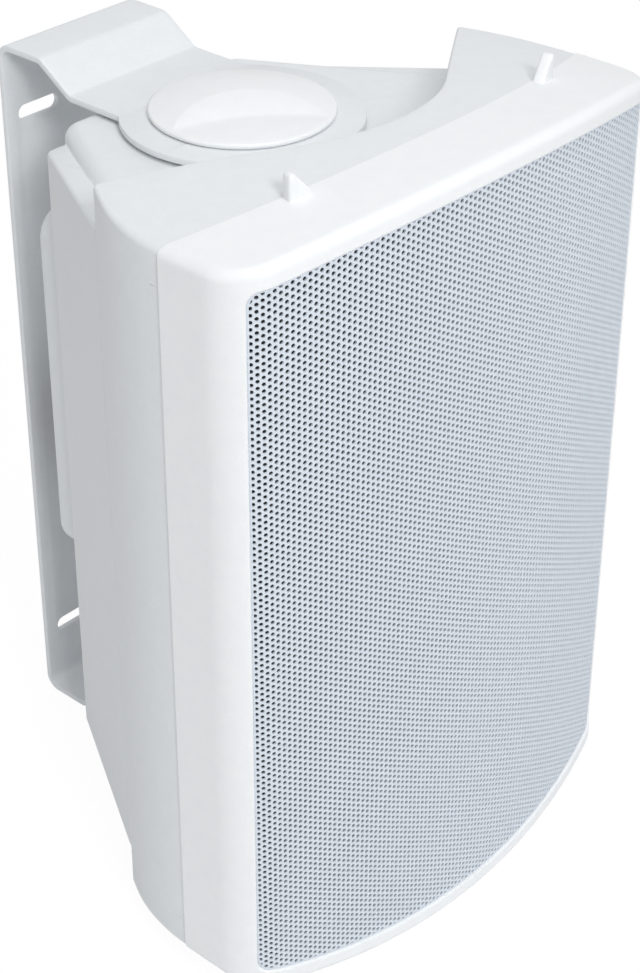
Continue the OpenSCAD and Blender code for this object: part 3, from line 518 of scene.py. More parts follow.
@dataclass
class Cabinet:
    """Rear cabinet moulding with its bracket pocket, ledges and rear hump."""

    lines: BodyLines = field(default_factory=BodyLines)
    wall: float = 3.5
    flare_r: float = 75.0
    cheek_angle: float = 29.9
    cheek_back: float = 113.6
    straight_y: float = 60.0
    edge_r: float = 3.0
    pocket_r: float = 67.0
    pocket_y: float = 60.5
    pocket_angle: float = 35.5
    pocket_edge: float = 1.2
    notch_r: float = 1.8
    notch_y: float = 40.0
    floor_h: float = 137.5
    floor_roll: float = 6.0
    ledge_front: float = 136.3
    ledge_rear: float = 130.5
    ledge_knee: float = 45.0
    ledge_w: float = 8.0
    rear_back: float = 117.0
    rear_corner: float = 8.0
    ledge_edge: float = 1.8
    inside_notch: float = 0.4
    inside_edge: float = 0.6
    inside_ledge: float = 0.5
    seam_past: float = -4.0
    seam_drop: float = 0.4
    seam_step: float = 0.35
    floor_cuts: tuple[float, ...] = (9.0, 6.0, 5.0, 4.0, 3.0, 2.0, 1.2, 0.5, 0.15, 0.0)
    side_levels: tuple[float, ...] = (110.0, 60.0, 0.0)
    hump_foot: float = 115.0
    hump_w: float = 102.0
    hump_h: float = 151.0
    hump_d: float = 11.0
    hump_rise: float = 25.5
    hump_r: float = 12.0
    hump_roll: float = 4.0
    well: tuple[float, float, float] = (66.0, 44.0, -15.0)

    def cheek_x(self, y: np.ndarray | float, inset: float = 0.0) -> np.ndarray:
        """Half width of the cabinet at a depth, set in square to the surface."""
        t = math.radians(self.cheek_angle)
        cx = self.lines.half_w - self.flare_r
        r = self.flare_r - inset
        end_y, end_x = r * math.sin(t), cx + r * math.cos(t)
        y = np.asarray(y, float)
        curve = cx + np.sqrt(np.maximum(r * r - np.clip(y, 0, end_y) ** 2, 0))
        return np.where(y > end_y, end_x - (y - end_y) * math.tan(t), curve)

    def wall_line(self, inset: float, notch: float) -> tuple[np.ndarray, np.ndarray, np.ndarray]:
        """Line of the wall from the pocket's front round the notch to the seam.

        Args:
            inset: How far the line is set into the moulding.
            notch: Radius of the notch's corner.

        Returns:
            Points in plan, their inward normals, and the share of each that is cheek.
        """
        s = math.radians(self.pocket_angle)
        t = math.radians(self.cheek_angle)
        r = self.pocket_r + inset
        a = np.linspace(0, s, CURVE_STEPS + 1)
        arc = np.c_[r * np.sin(a), self.pocket_y - r * np.cos(a)]
        along = np.array([math.cos(s), math.sin(s)])
        down = np.array([math.sin(t), -math.cos(t)])
        cheek = np.array([float(self.cheek_x(self.straight_y, inset)), self.straight_y])
        start = arc[-1]
        m = np.array([along, -down]).T
        reach = np.linalg.solve(m, cheek - start)
        corner = start + along * reach[0]
        turn = math.acos(float(along @ down))
        cut = notch * math.tan(turn / 2)
        p, q = corner - along * cut, corner + down * cut
        centre = p + np.array([along[1], -along[0]]) * notch
        b0 = math.atan2(*(p - centre)[::-1])
        b = b0 - np.linspace(0, turn, ROLL_STEPS + 1)
        bend = centre + notch * np.c_[np.cos(b), np.sin(b)]
        line = start + np.linspace(0, 1, PLANE_STEPS + 1)[1:-1, None] * (p - start)
        end_y = (self.flare_r - inset) * math.sin(t)
        bowed = np.linspace(end_y, 0, CURVE_STEPS + 1)[1:]
        ys = np.r_[np.linspace(q[1], end_y, 8)[1:], bowed, self.seam_past]
        side = np.c_[self.cheek_x(ys, inset), ys]
        points = np.r_[arc, line, bend, side]
        normals = np.r_[
            np.c_[np.sin(a), -np.cos(a)],
            np.tile([along[1], -along[0]], (len(line), 1)),
            -np.c_[np.cos(b), np.sin(b)],
            np.zeros((len(side), 2)),
        ]
        lean = np.arcsin(np.clip(ys / (self.flare_r - inset), 0, math.sin(t)))
        normals[-len(side) :] = -np.c_[np.cos(lean), np.sin(lean)]
        share = np.r_[np.zeros(len(arc) + len(line)), np.linspace(0, 1, len(bend)), np.ones(len(side))]
        return points, normals, share

    def block_y(self, x: np.ndarray, inset: float, back: float, corner: float, side: float) -> np.ndarray:
        """Rear boundary of a block between the cheeks, at x.

        Args:
            x: Where the boundary is wanted.
            inset: How far the boundary is set in.
            back: Depth of its rear face.
            corner: Radius of its upright corner.
            side: How far its sides stand in from the cheeks.

        Returns:
            Depth of the boundary.
        """
        t = math.radians(self.cheek_angle)
        y = back - inset
        run = float(self.cheek_x(self.straight_y)) - (side + inset) / math.cos(t)
        slope = self.straight_y - (np.abs(x) - run) / math.tan(t)
        r = max(corner - inset, 0.3)
        joint = run - (y - self.straight_y) * math.tan(t)
        cut = r * math.tan((math.pi / 2 - t) / 2)
        cx = joint - cut
        arc = y - r + np.sqrt(np.maximum(r * r - np.clip(np.abs(x) - cx, 0, r) ** 2, 0))
        end = cx + r * math.cos(t)
        return np.where(np.abs(x) < cx, y, np.where(np.abs(x) < end, arc, slope))

    def ledge_z(self, y: np.ndarray) -> np.ndarray:
        """Height of the ledge, which falls towards the rear."""
        return np.interp(y, [self.ledge_knee, self.rear_back], [self.ledge_front, self.ledge_rear])

    def floor_z(self, x: np.ndarray, y: np.ndarray, drop: float) -> np.ndarray:
        """Height of the pocket floor: plateau, its rolled edge and the ledge."""
        depth = np.full(np.shape(x), self.floor_roll)
        for c in np.linspace(self.floor_roll, 0, 13):
            outside = y > self.block_y(x, c, self.rear_back, self.rear_corner, self.ledge_w) + 1e-6
            depth = np.where(outside, np.minimum(depth, max(c - 0.5, 0)), depth)
        roll = np.sqrt(np.maximum(self.floor_roll**2 - (self.floor_roll - depth) ** 2, 0))
        return np.maximum(self.floor_h - self.floor_roll + roll, self.ledge_z(y)) - drop

    def quarter(self, inset: float) -> np.ndarray:
        """Upper right quarter of the skin as rows and columns of points.

        Args:
            inset: Zero for the outside, the wall's thickness for the inside.

        Returns:
            Array of rows, columns and three coordinates.
        """
        outer = inset == 0
        walls, normals, share = self.wall_line(inset, self.notch_r if outer else self.inside_notch)
        grown = np.clip((self.notch_y - walls[:, 1]) / self.notch_y, 0, 1) * share
        edge = self.pocket_edge + (self.edge_r - self.pocket_edge) * grown
        radius = edge if outer else np.full(len(share), self.inside_edge)
        lip = radius[:, None] * normals
        end_x, end_y = (walls + lip).T
        top = self.lines.crown_z
        front, crown = -self.lines.seam(end_x), top(end_x, inset)
        rows = [np.c_[end_x, front, crown - (self.seam_drop if outer else 0.0)]]
        front = front + (self.seam_step if outer else 0.0)
        for k in np.linspace(0, 1, ROLL_STEPS + 1):
            rows.append(np.c_[end_x, front + (np.maximum(end_y, front) - front) * k, crown])
        for a in np.radians(np.linspace(0, 90, ROLL_STEPS + 1)[1:]):
            at = walls + lip * (1 - math.sin(a))
            z = top(np.minimum(at[:, 0], self.lines.half_w - radius - inset), inset)
            rows.append(np.c_[at, z - radius * (1 - math.cos(a))])
        x, wy = walls[:, 0], walls[:, 1]
        foot = np.where(share < 0.5, self.floor_z(x, wy, inset), self.ledge_z(wy) - inset)
        rows.append(np.c_[x, wy, foot])
        roll = self.floor_roll
        for c in self.floor_cuts:
            y = np.maximum(self.block_y(x, c + inset, self.rear_back, self.rear_corner, self.ledge_w), wy)
            z = self.floor_h - roll + math.sqrt(roll**2 - (roll - min(c, roll)) ** 2)
            z = np.where(y > wy + 1e-9, np.maximum(z, self.ledge_z(y)) - inset, foot)
            rows.append(np.c_[x, y, z])
        last = rows[-1][:, 1]
        r = self.ledge_edge if outer else self.inside_ledge
        for a in np.radians(np.linspace(0, 90, ROLL_STEPS)):
            block = self.block_y(x, inset + r * (1 - math.sin(a)), self.cheek_back, self.edge_r, 0.0)
            y = np.where(share >= 0.5, wy, np.maximum(block, last))
            rows.append(np.c_[x, y, self.ledge_z(y) - inset - r * (1 - math.cos(a))])
        rows += [np.c_[rows[-1][:, :2], np.full(len(x), z)] for z in self.side_levels]
        skin = np.array(rows)
        skin[..., 1] = np.maximum(skin[..., 1], -self.lines.seam(skin[..., 0]))
        return skin

    def skin(self) -> bpy.types.Object:
        """Build the shell from four mirrored quarters, outside and inside."""
        pad = MeshPad("rear_cabinet_moulding")
        outside, inside = self.quarter(0.0), self.quarter(self.wall)
        for sx in (1, -1):
            for sz in (1, -1):
                flip = np.array([sx, 1, sz])
                pad.grid(outside * flip)
                pad.grid(inside * flip)
                pad.grid(np.array([outside[0], inside[0]]) * flip)
                pad.grid(np.array([outside[:, -1], inside[:, -1]]) * flip)
        self.hump(pad)
        return pad.build(CABINET_ABS)

    def frame_ring(self, w: float, h: float, r: float, z: float, y: float) -> np.ndarray:
        """Round-cornered rectangle at a depth, with as many points for every size."""
        points: list[tuple[float, float, float]] = []
        for k, (sx, sz) in enumerate(((1, 1), (-1, 1), (-1, -1), (1, -1))):
            cx, cz = sx * (w / 2 - r), z + sz * (h / 2 - r)
            for a in np.radians(np.linspace(90 * k, 90 * k + 90, 9)):
                points.append((cx + r * math.cos(a), y, cz + r * math.sin(a)))
        return np.array(points)

    def hump(self, pad: MeshPad) -> None:
        """Add the raised rear panel with the terminal well to a pad."""
        back = self.rear_back + self.hump_d

        def ring(grow: float, corner: float, y: float) -> np.ndarray:
            """Outline of the panel, grown all round."""
            w, h = self.hump_w + grow, self.hump_h + grow
            return self.frame_ring(w, h, self.hump_r + corner, self.hump_rise, y)

        foot = ((3, 1.5, -0.4), (0.9, 0.4, 0.4), (0, 0, 1.5))
        rows = [ring(grow, corner, self.rear_back + y) for grow, corner, y in foot]
        for a in np.radians(np.linspace(0, 90, 8)):
            k = self.hump_roll * (1 - math.cos(a))
            rows.append(ring(-2 * k, -k, back - self.hump_roll * (1 - math.sin(a))))
        ww, wh, wz = self.well
        sides = (0.5, back), (0.0, back - 0.4), (0.0, back - 2.5), (-12.0, back - 2.5)
        for grow, y in (*sides, (-12.0, self.hump_foot)):
            rows.append(self.frame_ring(ww + grow, wh + grow, 1.0 + max(grow, 0) / 2, wz, y))
        rows.append(ring(3, 1.5, self.hump_foot))
        pad.grid(np.array(rows), wrap_rows=True, wrap_columns=True)

    def build(self) -> None:
        """Build the cabinet's pieces and place them."""
        place(self.skin(), "cabinet", ["rear_cabinet"])


@dataclass
class FrontFrame:
    """Front frame with its wrapped face, baffle and alignment fins."""

    lines: BodyLines = field(default_factory=BodyLines)
    face: FrontFace = field(default_factory=FrontFace)
    lip_w: float = 7.2
    grille_reach: float = 107.9
    corner: float = 6.0
    fillet: float = 3.6
    seam_gap: float = 0.5
    wall: float = 3.0
    baffle_back: float = 25.0
    baffle_t: float = 3.5
    baffle_inset: float = 5.0
    fin_x: float = 68.0
    fin_l: float = 12.0
    fin_h: float = 10.0
    fin_t: float = 4.3
    fin_sink: float = 1.5
    fin_clear: float = 0.2

    def border(self) -> np.ndarray:
        """Upper half of the face's own border, matched point by point to the opening's outline."""
        end = self.face.seam_end
        start = self.grille_reach - self.corner
        z1 = float(self.face.top(end, 0.0)) - self.fillet
        z0 = float(self.face.top(start, self.lip_w)) - self.corner
        side = np.c_[np.full(SIDE_STEPS, end), np.linspace(0, z0, SIDE_STEPS + 1)[:-1]]
        rise = np.c_[np.full(RISE_STEPS, end), np.linspace(z0, z1, RISE_STEPS)]
        turn = np.linspace(end, start, BEND_STEPS - RISE_STEPS + 2)[1:]
        run = np.r_[turn, np.linspace(start, 0, ARCH_STEPS + 1)[1:]]
        return mirrored(np.r_[side, rise, np.c_[run, self.face.top(run, 0.0) - self.fillet]])

    def front(self) -> np.ndarray:
        """Rows of points of the upright face, from inside the opening to the border."""
        rows = []
        for inset, back in ((0.55, 4.0), (0.55, 0.6), (0.42, 0.28), (0.24, 0.1)):
            loop = self.face.opening(self.grille_reach - inset, self.corner - inset, self.lip_w + inset)
            rows.append(self.face.at(loop[:, 0], loop[:, 1], -back))
        inner = self.face.opening(self.grille_reach, self.corner, self.lip_w)
        outer = self.border()
        for k in np.linspace(0, 1, 25):
            loop = inner * (1 - k) + outer * k
            rows.append(self.face.at(loop[:, 0], loop[:, 1]))
        return np.array(rows)

    def crest(self) -> np.ndarray:
        """Rows of points over the rolled edge and along the arched top to the seam."""
        first = SIDE_STEPS + RISE_STEPS - 1
        s = self.border()[first:-first, 0]
        rows = []
        for a in np.radians(np.linspace(0, 90, 9)):
            x, depth = self.face.plan(s, -self.fillet * (1 - math.cos(a)))
            z = self.lines.crown_z(x, -self.face.proud) - self.fillet * (1 - math.sin(a))
            rows.append(np.stack([x, -depth, z], -1))
        x0, depth0 = self.face.plan(s, -self.fillet)
        x1 = s / self.face.seam_end * (self.face.half - self.fillet)
        depth1 = self.lines.seam(x1) + self.seam_gap
        for k in np.linspace(0, 1, 11)[1:]:
            x, depth = x0 * (1 - k) + x1 * k, depth0 * (1 - k) + depth1 * k
            rows.append(np.stack([x, -depth, self.lines.crown_z(x, -self.face.proud)], -1))
        crest = np.array(rows)
        crest[:, [0, -1], 1] = -self.seam_gap - self.lines.seam(crest[:, [0, -1], 0])
        return crest

    def bezel(self) -> bpy.types.Object:
        """Build the moulded frame as a shell, with its fins and baffle."""
        pad = MeshPad("front_frame_moulding")
        front, crest = self.front(), self.crest()
        down = np.array([1.0, 1.0, -1.0])
        pad.grid(np.concatenate([front, (front * down)[:, -2:0:-1]], axis=1), wrap_columns=True)
        pad.grid(crest)
        pad.grid((crest * down)[:, ::-1])
        made = pad.build(FRAME_ABS)
        shell = made.modifiers.new("wall", "SOLIDIFY")
        shell.thickness, shell.offset = self.wall * MM, -1.0
        made.data = evaluated(made)
        made.modifiers.clear()
        join(made, [self.fin(s) for s in (-1, 1)] + [self.baffle()])
        return made

    def fin(self, side: int) -> bpy.types.Object:
        """Build one fin: a small wedge, upright at its outer end, with soft edges."""
        middle = self.fin_x - self.fin_l / 2
        foot = float(self.lines.crown_z(middle)) - self.fin_sink
        inner, y, outer = self.lines.seam(np.array([middle - self.fin_l / 2, middle, self.fin_x]))
        lean = math.atan2(inner - outer, self.fin_l)
        shape = [(0, 0), (self.fin_l, 0), (self.fin_l, self.fin_h + 0.5), (self.fin_l - 2, self.fin_h + 1)]
        work = bmesh.new()
        lower, upper = (
            [work.verts.new((side * (u - self.fin_l / 2), depth, v)) for u, v in shape]
            for depth in (-self.fin_t, 0.0)
        )
        work.faces.new(lower)
        work.faces.new(upper[::-1])
        for k in range(4):
            n = (k + 1) % 4
            work.faces.new((lower[k], upper[k], upper[n], lower[n]))
        bmesh.ops.bevel(work, geom=work.edges[:], offset=1.0, segments=4, profile=0.5, affect="EDGES")
        back = SEAM_Y - y - self.seam_gap - self.fin_clear
        seat = Matrix.Translation((side * middle, back, foot))
        bmesh.ops.transform(work, matrix=seat @ Matrix.Rotation(side * lean, 4, "Z"), verts=work.verts)
        bmesh.ops.scale(work, vec=(MM, MM, MM), verts=work.verts)
        return finish_work("fin", work, FRAME_ABS, merge=0.005)

    def baffle(self) -> bpy.types.Object:
        """Build the baffle plate with its openings."""
        outer = self.lines.outline(2.0, self.baffle_inset)
        woofer_z, tweeter_z = -52.0, 86.0
        holes = [(0.0, woofer_z, 72.0), (0.0, tweeter_z, 33.5), (73.0, tweeter_z, 18.0)]
        for z, reach, first, step in ((woofer_z, 77, 30, 60), (tweeter_z, 41, 45, 90)):
            screws = np.radians(np.arange(first, 360, step))
            holes += [(reach * math.cos(a), z + reach * math.sin(a), 1.75) for a in screws]
        loops = [outer] + [circle(x, z, r, 64 if r > 5 else 16) for x, z, r in holes]
        work = filled_plate(loops, self.baffle_t)
        spin = Matrix.Rotation(math.radians(90), 4, "X")
        bmesh.ops.transform(work, matrix=spin, verts=work.verts)
        bmesh.ops.translate(work, vec=(0, SEAM_Y - self.baffle_back, 0), verts=work.verts)
        bmesh.ops.scale(work, vec=(MM, MM, MM), verts=work.verts)
        return finish_work("baffle", work, FRAME_ABS, merge=0.005)

    def build(self) -> None:
        """Build the frame and place it."""
        place(self.bezel(), "cabinet", ["front_frame"])


def circle(x: float, z: float, r: float, n: int) -> np.ndarray:
    """Points of a circle."""
    a = np.linspace(0, math.tau, n, endpoint=False)
    return np.c_[x + r * np.cos(a), z + r * np.sin(a)]


def filled_plate(loops: Iterable[np.ndarray], thickness: float) -> bmesh.types.BMesh:
    """Fill flat loops, the first the outline and the rest holes, and thicken them.

    Args:
        loops: Closed loops of x and y.
        thickness: How far the plate rises from zero.

    Returns:
        A closed plate that the caller frees.
    """
    curve = bpy.data.curves.new("blank", "CURVE")
    curve.dimensions = "2D"
    curve.fill_mode = "BOTH"
    for loop in loops:
        spline = curve.splines.new("POLY")
        spline.points.add(len(loop) - 1)
        flat = np.c_[loop, np.zeros(len(loop)), np.ones(len(loop))]
        spline.points.foreach_set("co", flat.astype(np.float32).ravel())
        spline.use_cyclic_u = True
    holder = new_object("blank", curve)
    flat_mesh = evaluated(holder)
    work = bmesh.new()
    work.from_mesh(flat_mesh)
    bmesh.ops.remove_doubles(work, verts=work.verts, dist=1e-4)
    grown = bmesh.ops.extrude_face_region(work, geom=work.faces[:])
    top = [g for g in grown["geom"] if isinstance(g, bmesh.types.BMVert)]
    bmesh.ops.translate(work, verts=top, vec=(0, 0, thickness))
    bmesh.ops.recalc_face_normals(work, faces=work.faces)
    bpy.data.objects.remove(holder)
    bpy.data.curves.remove(curve)
    bpy.data.meshes.remove(flat_mesh)
    return work


def join(target: bpy.types.Object, others: Sequence[bpy.types.Object]) -> None:
    """Fold other objects' meshes into the target, keeping crisp edges."""
    work = bmesh.new()
    for source in [target, *others]:
        work.from_mesh(source.data)
    work.to_mesh(target.data)
    work.free()
    for other in others:
        bpy.data.objects.remove(other)


@dataclass
class Grille:
    """Perforated steel grille with its returned edge, and the dust cloth behind it."""

    face: FrontFace = field(default_factory=FrontFace)
    inset: float = 7.6
    reach: float = 107.5
    sunk: float = 1.1
    thickness: float = 0.7
    flange: float = 4.0
    pitch: float = 2.5
    hole_r: float = 0.82
    border_share: float = 0.45
    rim: float = 0.7
    corner: float = 6.0
    cloth_margin: float = 3.0
    cloth_t: float = 0.8
    bands: int = 3

    def tree(self) -> bpy.types.NodeTree:
        """Node tree that sets one pierced six-sided cell on every point of the sheet."""
        tree = bpy.data.node_groups.new("perforated_sheet", "GeometryNodeTree")
        kinds = {"Hole centres": "Geometry", "Finish": "Material"}
        for name in ("Hole centres", "Pitch", "Hole radius", "Thickness", "Finish"):
            kind = f"NodeSocket{kinds.get(name, 'Float')}"
            tree.interface.new_socket(name, in_out="INPUT", socket_type=kind)
        tree.interface.new_socket("Sheet", in_out="OUTPUT", socket_type="NodeSocketGeometry")
        given = add(tree, "NodeGroupInput").outputs
        reach = calc(tree, "DIVIDE", given["Pitch"], math.sqrt(3))
        rings = []
        for sides, radius in ((6, reach), (8, given["Hole radius"])):
            form = {"Resolution": sides, "Radius": radius}
            rings.append(add(tree, "GeometryNodeCurvePrimitiveCircle", form).outputs["Curve"])
        cell = add(tree, "GeometryNodeFillCurve", {"Curve": joined(tree, *rings)}).outputs[0]
        rise = {"Mesh": cell, "Offset Scale": given["Thickness"], "Individual": False}
        raised = add(tree, "GeometryNodeExtrudeMesh", rise).outputs
        back = add(tree, "GeometryNodeFlipFaces", {"Mesh": cell}).outputs[0]
        where = add(tree, "GeometryNodeInputPosition").outputs[0]
        flat = add(tree, "ShaderNodeVectorMath", {0: where, 1: (1.0, 1.0, 0.0)}, operation="MULTIPLY")
        far = add(tree, "ShaderNodeVectorMath", {0: flat.outputs[0]}, operation="LENGTH").outputs["Value"]
        outer = calc(tree, "GREATER_THAN", far, calc(tree, "MULTIPLY", given["Pitch"], self.border_share))
        rim = add(tree, "FunctionNodeBooleanMath", {0: raised["Side"], 1: outer}, operation="AND").outputs[0]
        cut = {"Geometry": raised["Mesh"], "Selection": rim}
        sleeve = add(tree, "GeometryNodeDeleteGeometry", cut, domain="FACE").outputs[0]
        whole = {"Points": given["Hole centres"], "Instance": joined(tree, sleeve, back)}
        spread = add(tree, "GeometryNodeInstanceOnPoints", whole).outputs[0]
        real = add(tree, "GeometryNodeRealizeInstances", {"Geometry": spread}).outputs[0]
        dressed = add(tree, "GeometryNodeSetMaterial", {"Geometry": real, "Material": given["Finish"]})
        add(tree, "NodeGroupOutput", {"Sheet": dressed.outputs[0]})
        return tree

    def limit_z(self, s: np.ndarray | float, inset: float) -> np.ndarray:
        """Height of the grille's outline at lengths s, round corners included."""
        r = self.corner - inset
        z = self.face.top(s, self.inset + inset)
        start = self.reach - inset - r
        z0 = float(self.face.top(start, self.inset + inset)) - r
        side = np.clip(np.abs(s) - start, 0, r)
        rounded = np.minimum(z, z0 + np.sqrt(np.maximum(r * r - side * side, 0)))
        return np.where(np.abs(s) > start, rounded, z)

    def sheet(self, band: int) -> bpy.types.Object:
        """Build one upright band of the perforated sheet.

        Args:
            band: Number of the band, from the left.

        Returns:
            The finished band.
        """
        along = self.reach
        step = self.pitch * math.sqrt(3) / 2
        columns = int(along / step) + 1
        cut = np.linspace(-along - step, along + step, self.bands + 1)
        points = []
        for c in range(-columns, columns + 1):
            s = c * step
            if not cut[band] <= s < cut[band + 1] or abs(s) > along + self.hole_r:
                continue
            top = float(self.limit_z(min(abs(s), along), 0)) + 1.0
            z = np.arange(-80, 81) * self.pitch + (self.pitch / 2 if c % 2 else 0)
            z = z[np.abs(z) < top]
            points.append(np.c_[np.full(len(z), s), z, np.zeros(len(z))])
        seed = bpy.data.meshes.new("hole_centres")
        seed.from_pydata(np.concatenate(points).tolist(), [], [])
        holder = new_object("hole_centres", seed)
        tree = bpy.data.node_groups.get("perforated_sheet") or self.tree()
        stage = holder.modifiers.new("perforation", "NODES")
        stage.node_group = tree
        values = {
            "Pitch": self.pitch,
            "Hole radius": self.hole_r,
            "Thickness": self.thickness,
            "Finish": GRILLE_COAT.material(),
        }
        for item in tree.interface.items_tree:
            if item.name in values and item.in_out == "INPUT":
                stage[item.identifier] = values[item.name]
        mesh = evaluated(holder)
        bpy.data.objects.remove(holder)
        co = np.empty(len(mesh.vertices) * 3, np.float32)
        mesh.vertices.foreach_get("co", co)
        co = co.reshape(-1, 3).astype(float)
        s = np.clip(co[:, 0], self.rim - along, along - self.rim)
        top = self.limit_z(s, self.rim)
        placed = self.face.at(s, np.clip(co[:, 1], -top, top), co[:, 2] - self.thickness - self.sunk)
        place_at = (placed + [0, SEAM_Y, 0]) * MM
        mesh.vertices.foreach_set("co", place_at.astype(np.float32).ravel())
        return finish_mesh(f"grille_sheet_{band + 1}", mesh, GRILLE_COAT, sharp=50, merge=0.01)

    def edge(self) -> bpy.types.Object:
        """Build the returned edge round the sheet, with its rolled front."""
        pad = MeshPad("grille_edge")
        rows = []
        section = [(1.0, 0.0), (0.55, 0.02), (0.22, 0.2), (0.04, 0.5), (0.0, 0.9)]
        section += [(0.0, self.flange), (0.15, self.flange), (0.9, self.flange)]
        section += [(1.0, self.flange - 0.1), (1.0, 1.0)]
        for inset, back in section:
            upper = self.face.opening(self.reach - inset, self.corner - min(inset, 3), self.inset + inset)
            loop = np.r_[upper, upper[-2:0:-1] * [1, -1]]
            rows.append(self.face.at(loop[:, 0], loop[:, 1], -self.sunk - back))
        pad.grid(np.array(rows), wrap_rows=True, wrap_columns=True)
        return pad.build(GRILLE_COAT)

    def cloth(self) -> bpy.types.Object:
        """Build the dust cloth, stretched behind the sheet."""
        half = self.reach - self.cloth_margin
        along = np.linspace(-half, half, 97)
        top = self.limit_z(along, self.cloth_margin / 2)
        front, back = (
            np.array([self.face.at(along, (top - 1.5) * k, back) for k in np.linspace(-1, 1, 61)])
            for back in (-self.sunk - self.thickness - side for side in (0.02, self.cloth_t))
        )
        pad = MeshPad("dust_cloth")
        pad.grid(front)
        pad.grid(back)
        for cut in np.s_[0, :], np.s_[-1, :], np.s_[:, 0], np.s_[:, -1]:
            pad.grid(np.array([front[cut], back[cut]]))
        # The cloth's near-black colour is painted shade, seen through the grille's holes.
        return pad.build(DUST_CLOTH)

    def build(self) -> None:
        """Build the grille's bands, its edge and its cloth, and place them."""
        for band in range(self.bands):
            place(self.sheet(band), "cabinet", ["grille"])
        place(self.edge(), "cabinet", ["grille"])
        cloth = self.cloth()
        place(cloth, "cabinet", ["grille_cloth"])


@dataclass
class WallBracket:
    """Folded steel strip: wall plate, flanges, slopes and round-ended arms."""

    strip_w: float = 65.6
    thickness: float = 2.5
    top: float = 152.0
    arm_top: float = 141.5
    flange_d: float = 23.3
    slope_run: float = 16.0
    fold_r: float = 4.0
    soft_r: float = 3.0
    disc_r: float = 45.0
    hole_r: float = 4.4
    slot_w: float = 6.0
    slot_l: float = 20.0
    slot_dx: float = 33.0
    slot_dz: float = 243.0
    edge: float = 0.45

    def path(self) -> list[tuple[float, float, float]]:
        """Turns of the mid-line: each straight's length, and the angle and radius of the fold after it."""
        half = self.thickness / 2
        lean = math.atan2(self.top - self.arm_top, self.slope_run)
        up = self.top - half
        corner = self.fold_r + half
        soft = (self.soft_r + half) * math.tan(lean / 2)
        slope = math.hypot(self.top - self.arm_top, self.slope_run)
        return [
            (up - corner, math.pi / 2, corner),
            (self.flange_d - half - corner - soft, lean, self.soft_r + half),
            (slope - 2 * soft, -lean, self.soft_r + half),
            (-AXIS_Y + self.disc_r - self.flange_d - self.slope_run - soft, 0.0, 1.0),
        ]

    def frames(self) -> tuple[list[float], np.ndarray]:
        """Stations along the mid-line.

        Returns:
            Their lengths, and for each its y, z and direction angle.
        """
        y, z, angle, run = -self.thickness / 2, 0.0, 0.0, 0.0
        lengths, places = [0.0], [(y, z, angle)]
        for straight, turn, r in self.path():
            y -= math.sin(angle) * straight
            z += math.cos(angle) * straight
            run += straight
            lengths.append(run)
            places.append((y, z, angle))
            steps = max(int(abs(math.degrees(turn)) / 7.5), 1)
            for _ in range(steps if turn else 0):
                part = turn / steps
                chord = 2 * r * math.sin(abs(part) / 2)
                y -= math.sin(angle + part / 2) * chord
                z += math.cos(angle + part / 2) * chord
                angle += part
                run += r * abs(part)
                lengths.append(run)
                places.append((y, z, angle))
        return lengths, np.array(places)

    def blank(self, total: float) -> list[np.ndarray]:
        """Outline of the flat blank and its holes, across and along the strip."""
        axis = total - self.disc_r
        half = self.strip_w / 2
        neck = math.asin(half / self.disc_r)
        a = np.linspace(neck - math.pi, math.pi - neck, 121)
        arc = np.c_[self.disc_r * np.sin(a), axis + self.disc_r * np.cos(a)][::-1]
        outer = np.r_[arc, -arc]
        loops = [outer, circle(0, axis, self.hole_r, 32), circle(0, -axis, self.hole_r, 32)]
        run = (self.slot_l - self.slot_w) / 2
        for sx in (-1, 1):
            for sz in (-1, 1):
                b = np.linspace(-math.pi / 2, math.pi / 2, 13)
                right = np.c_[run + self.slot_w / 2 * np.cos(b), self.slot_w / 2 * np.sin(b)]
                slot = np.r_[right, -right]
                loops.append(slot + [sx * self.slot_dx / 2, sz * self.slot_dz / 2])
        return loops

    def build(self) -> None:
        """Cut the blank, fold it and place it."""
        lengths, places = self.frames()
        work = filled_plate(self.blank(lengths[-1]), self.thickness)
        rims = [e for e in work.edges if e.is_manifold and e.calc_face_angle(0) > math.radians(60)]
        flat_rims = [e for e in rims if abs(e.verts[0].co.z - e.verts[1].co.z) < 1e-4]
        bmesh.ops.bevel(work, geom=flat_rims, offset=self.edge, segments=2, profile=0.5, affect="EDGES")
        for station in lengths[1:-1]:
            for sign in (-1, 1):
                bmesh.ops.bisect_plane(
                    work,
                    geom=work.verts[:] + work.edges[:] + work.faces[:],
                    plane_co=(0, sign * station, 0),
                    plane_no=(0, 1, 0),
                )
        for vert in work.verts:
            u, s, h = vert.co
            along = min(abs(s), lengths[-1])
            k = min(int(np.searchsorted(lengths, along, side="right")) - 1, len(lengths) - 2)
            span = lengths[k + 1] - lengths[k]
            f = (along - lengths[k]) / span
            y, z = places[k, :2] * (1 - f) + places[k + 1, :2] * f
            angle = places[k, 2] * (1 - f) + places[k + 1, 2] * f
            off = h - self.thickness / 2
            y -= math.cos(angle) * off
            z -= math.sin(angle) * off
            vert.co = Vector((u, y, z * (1 if s >= 0 else -1))) * MM
        made = finish_work("wall_bracket_folded", work, BRACKET_COAT, sharp=34, merge=0.005)
        place(made, "bracket", ["wall_bracket"])


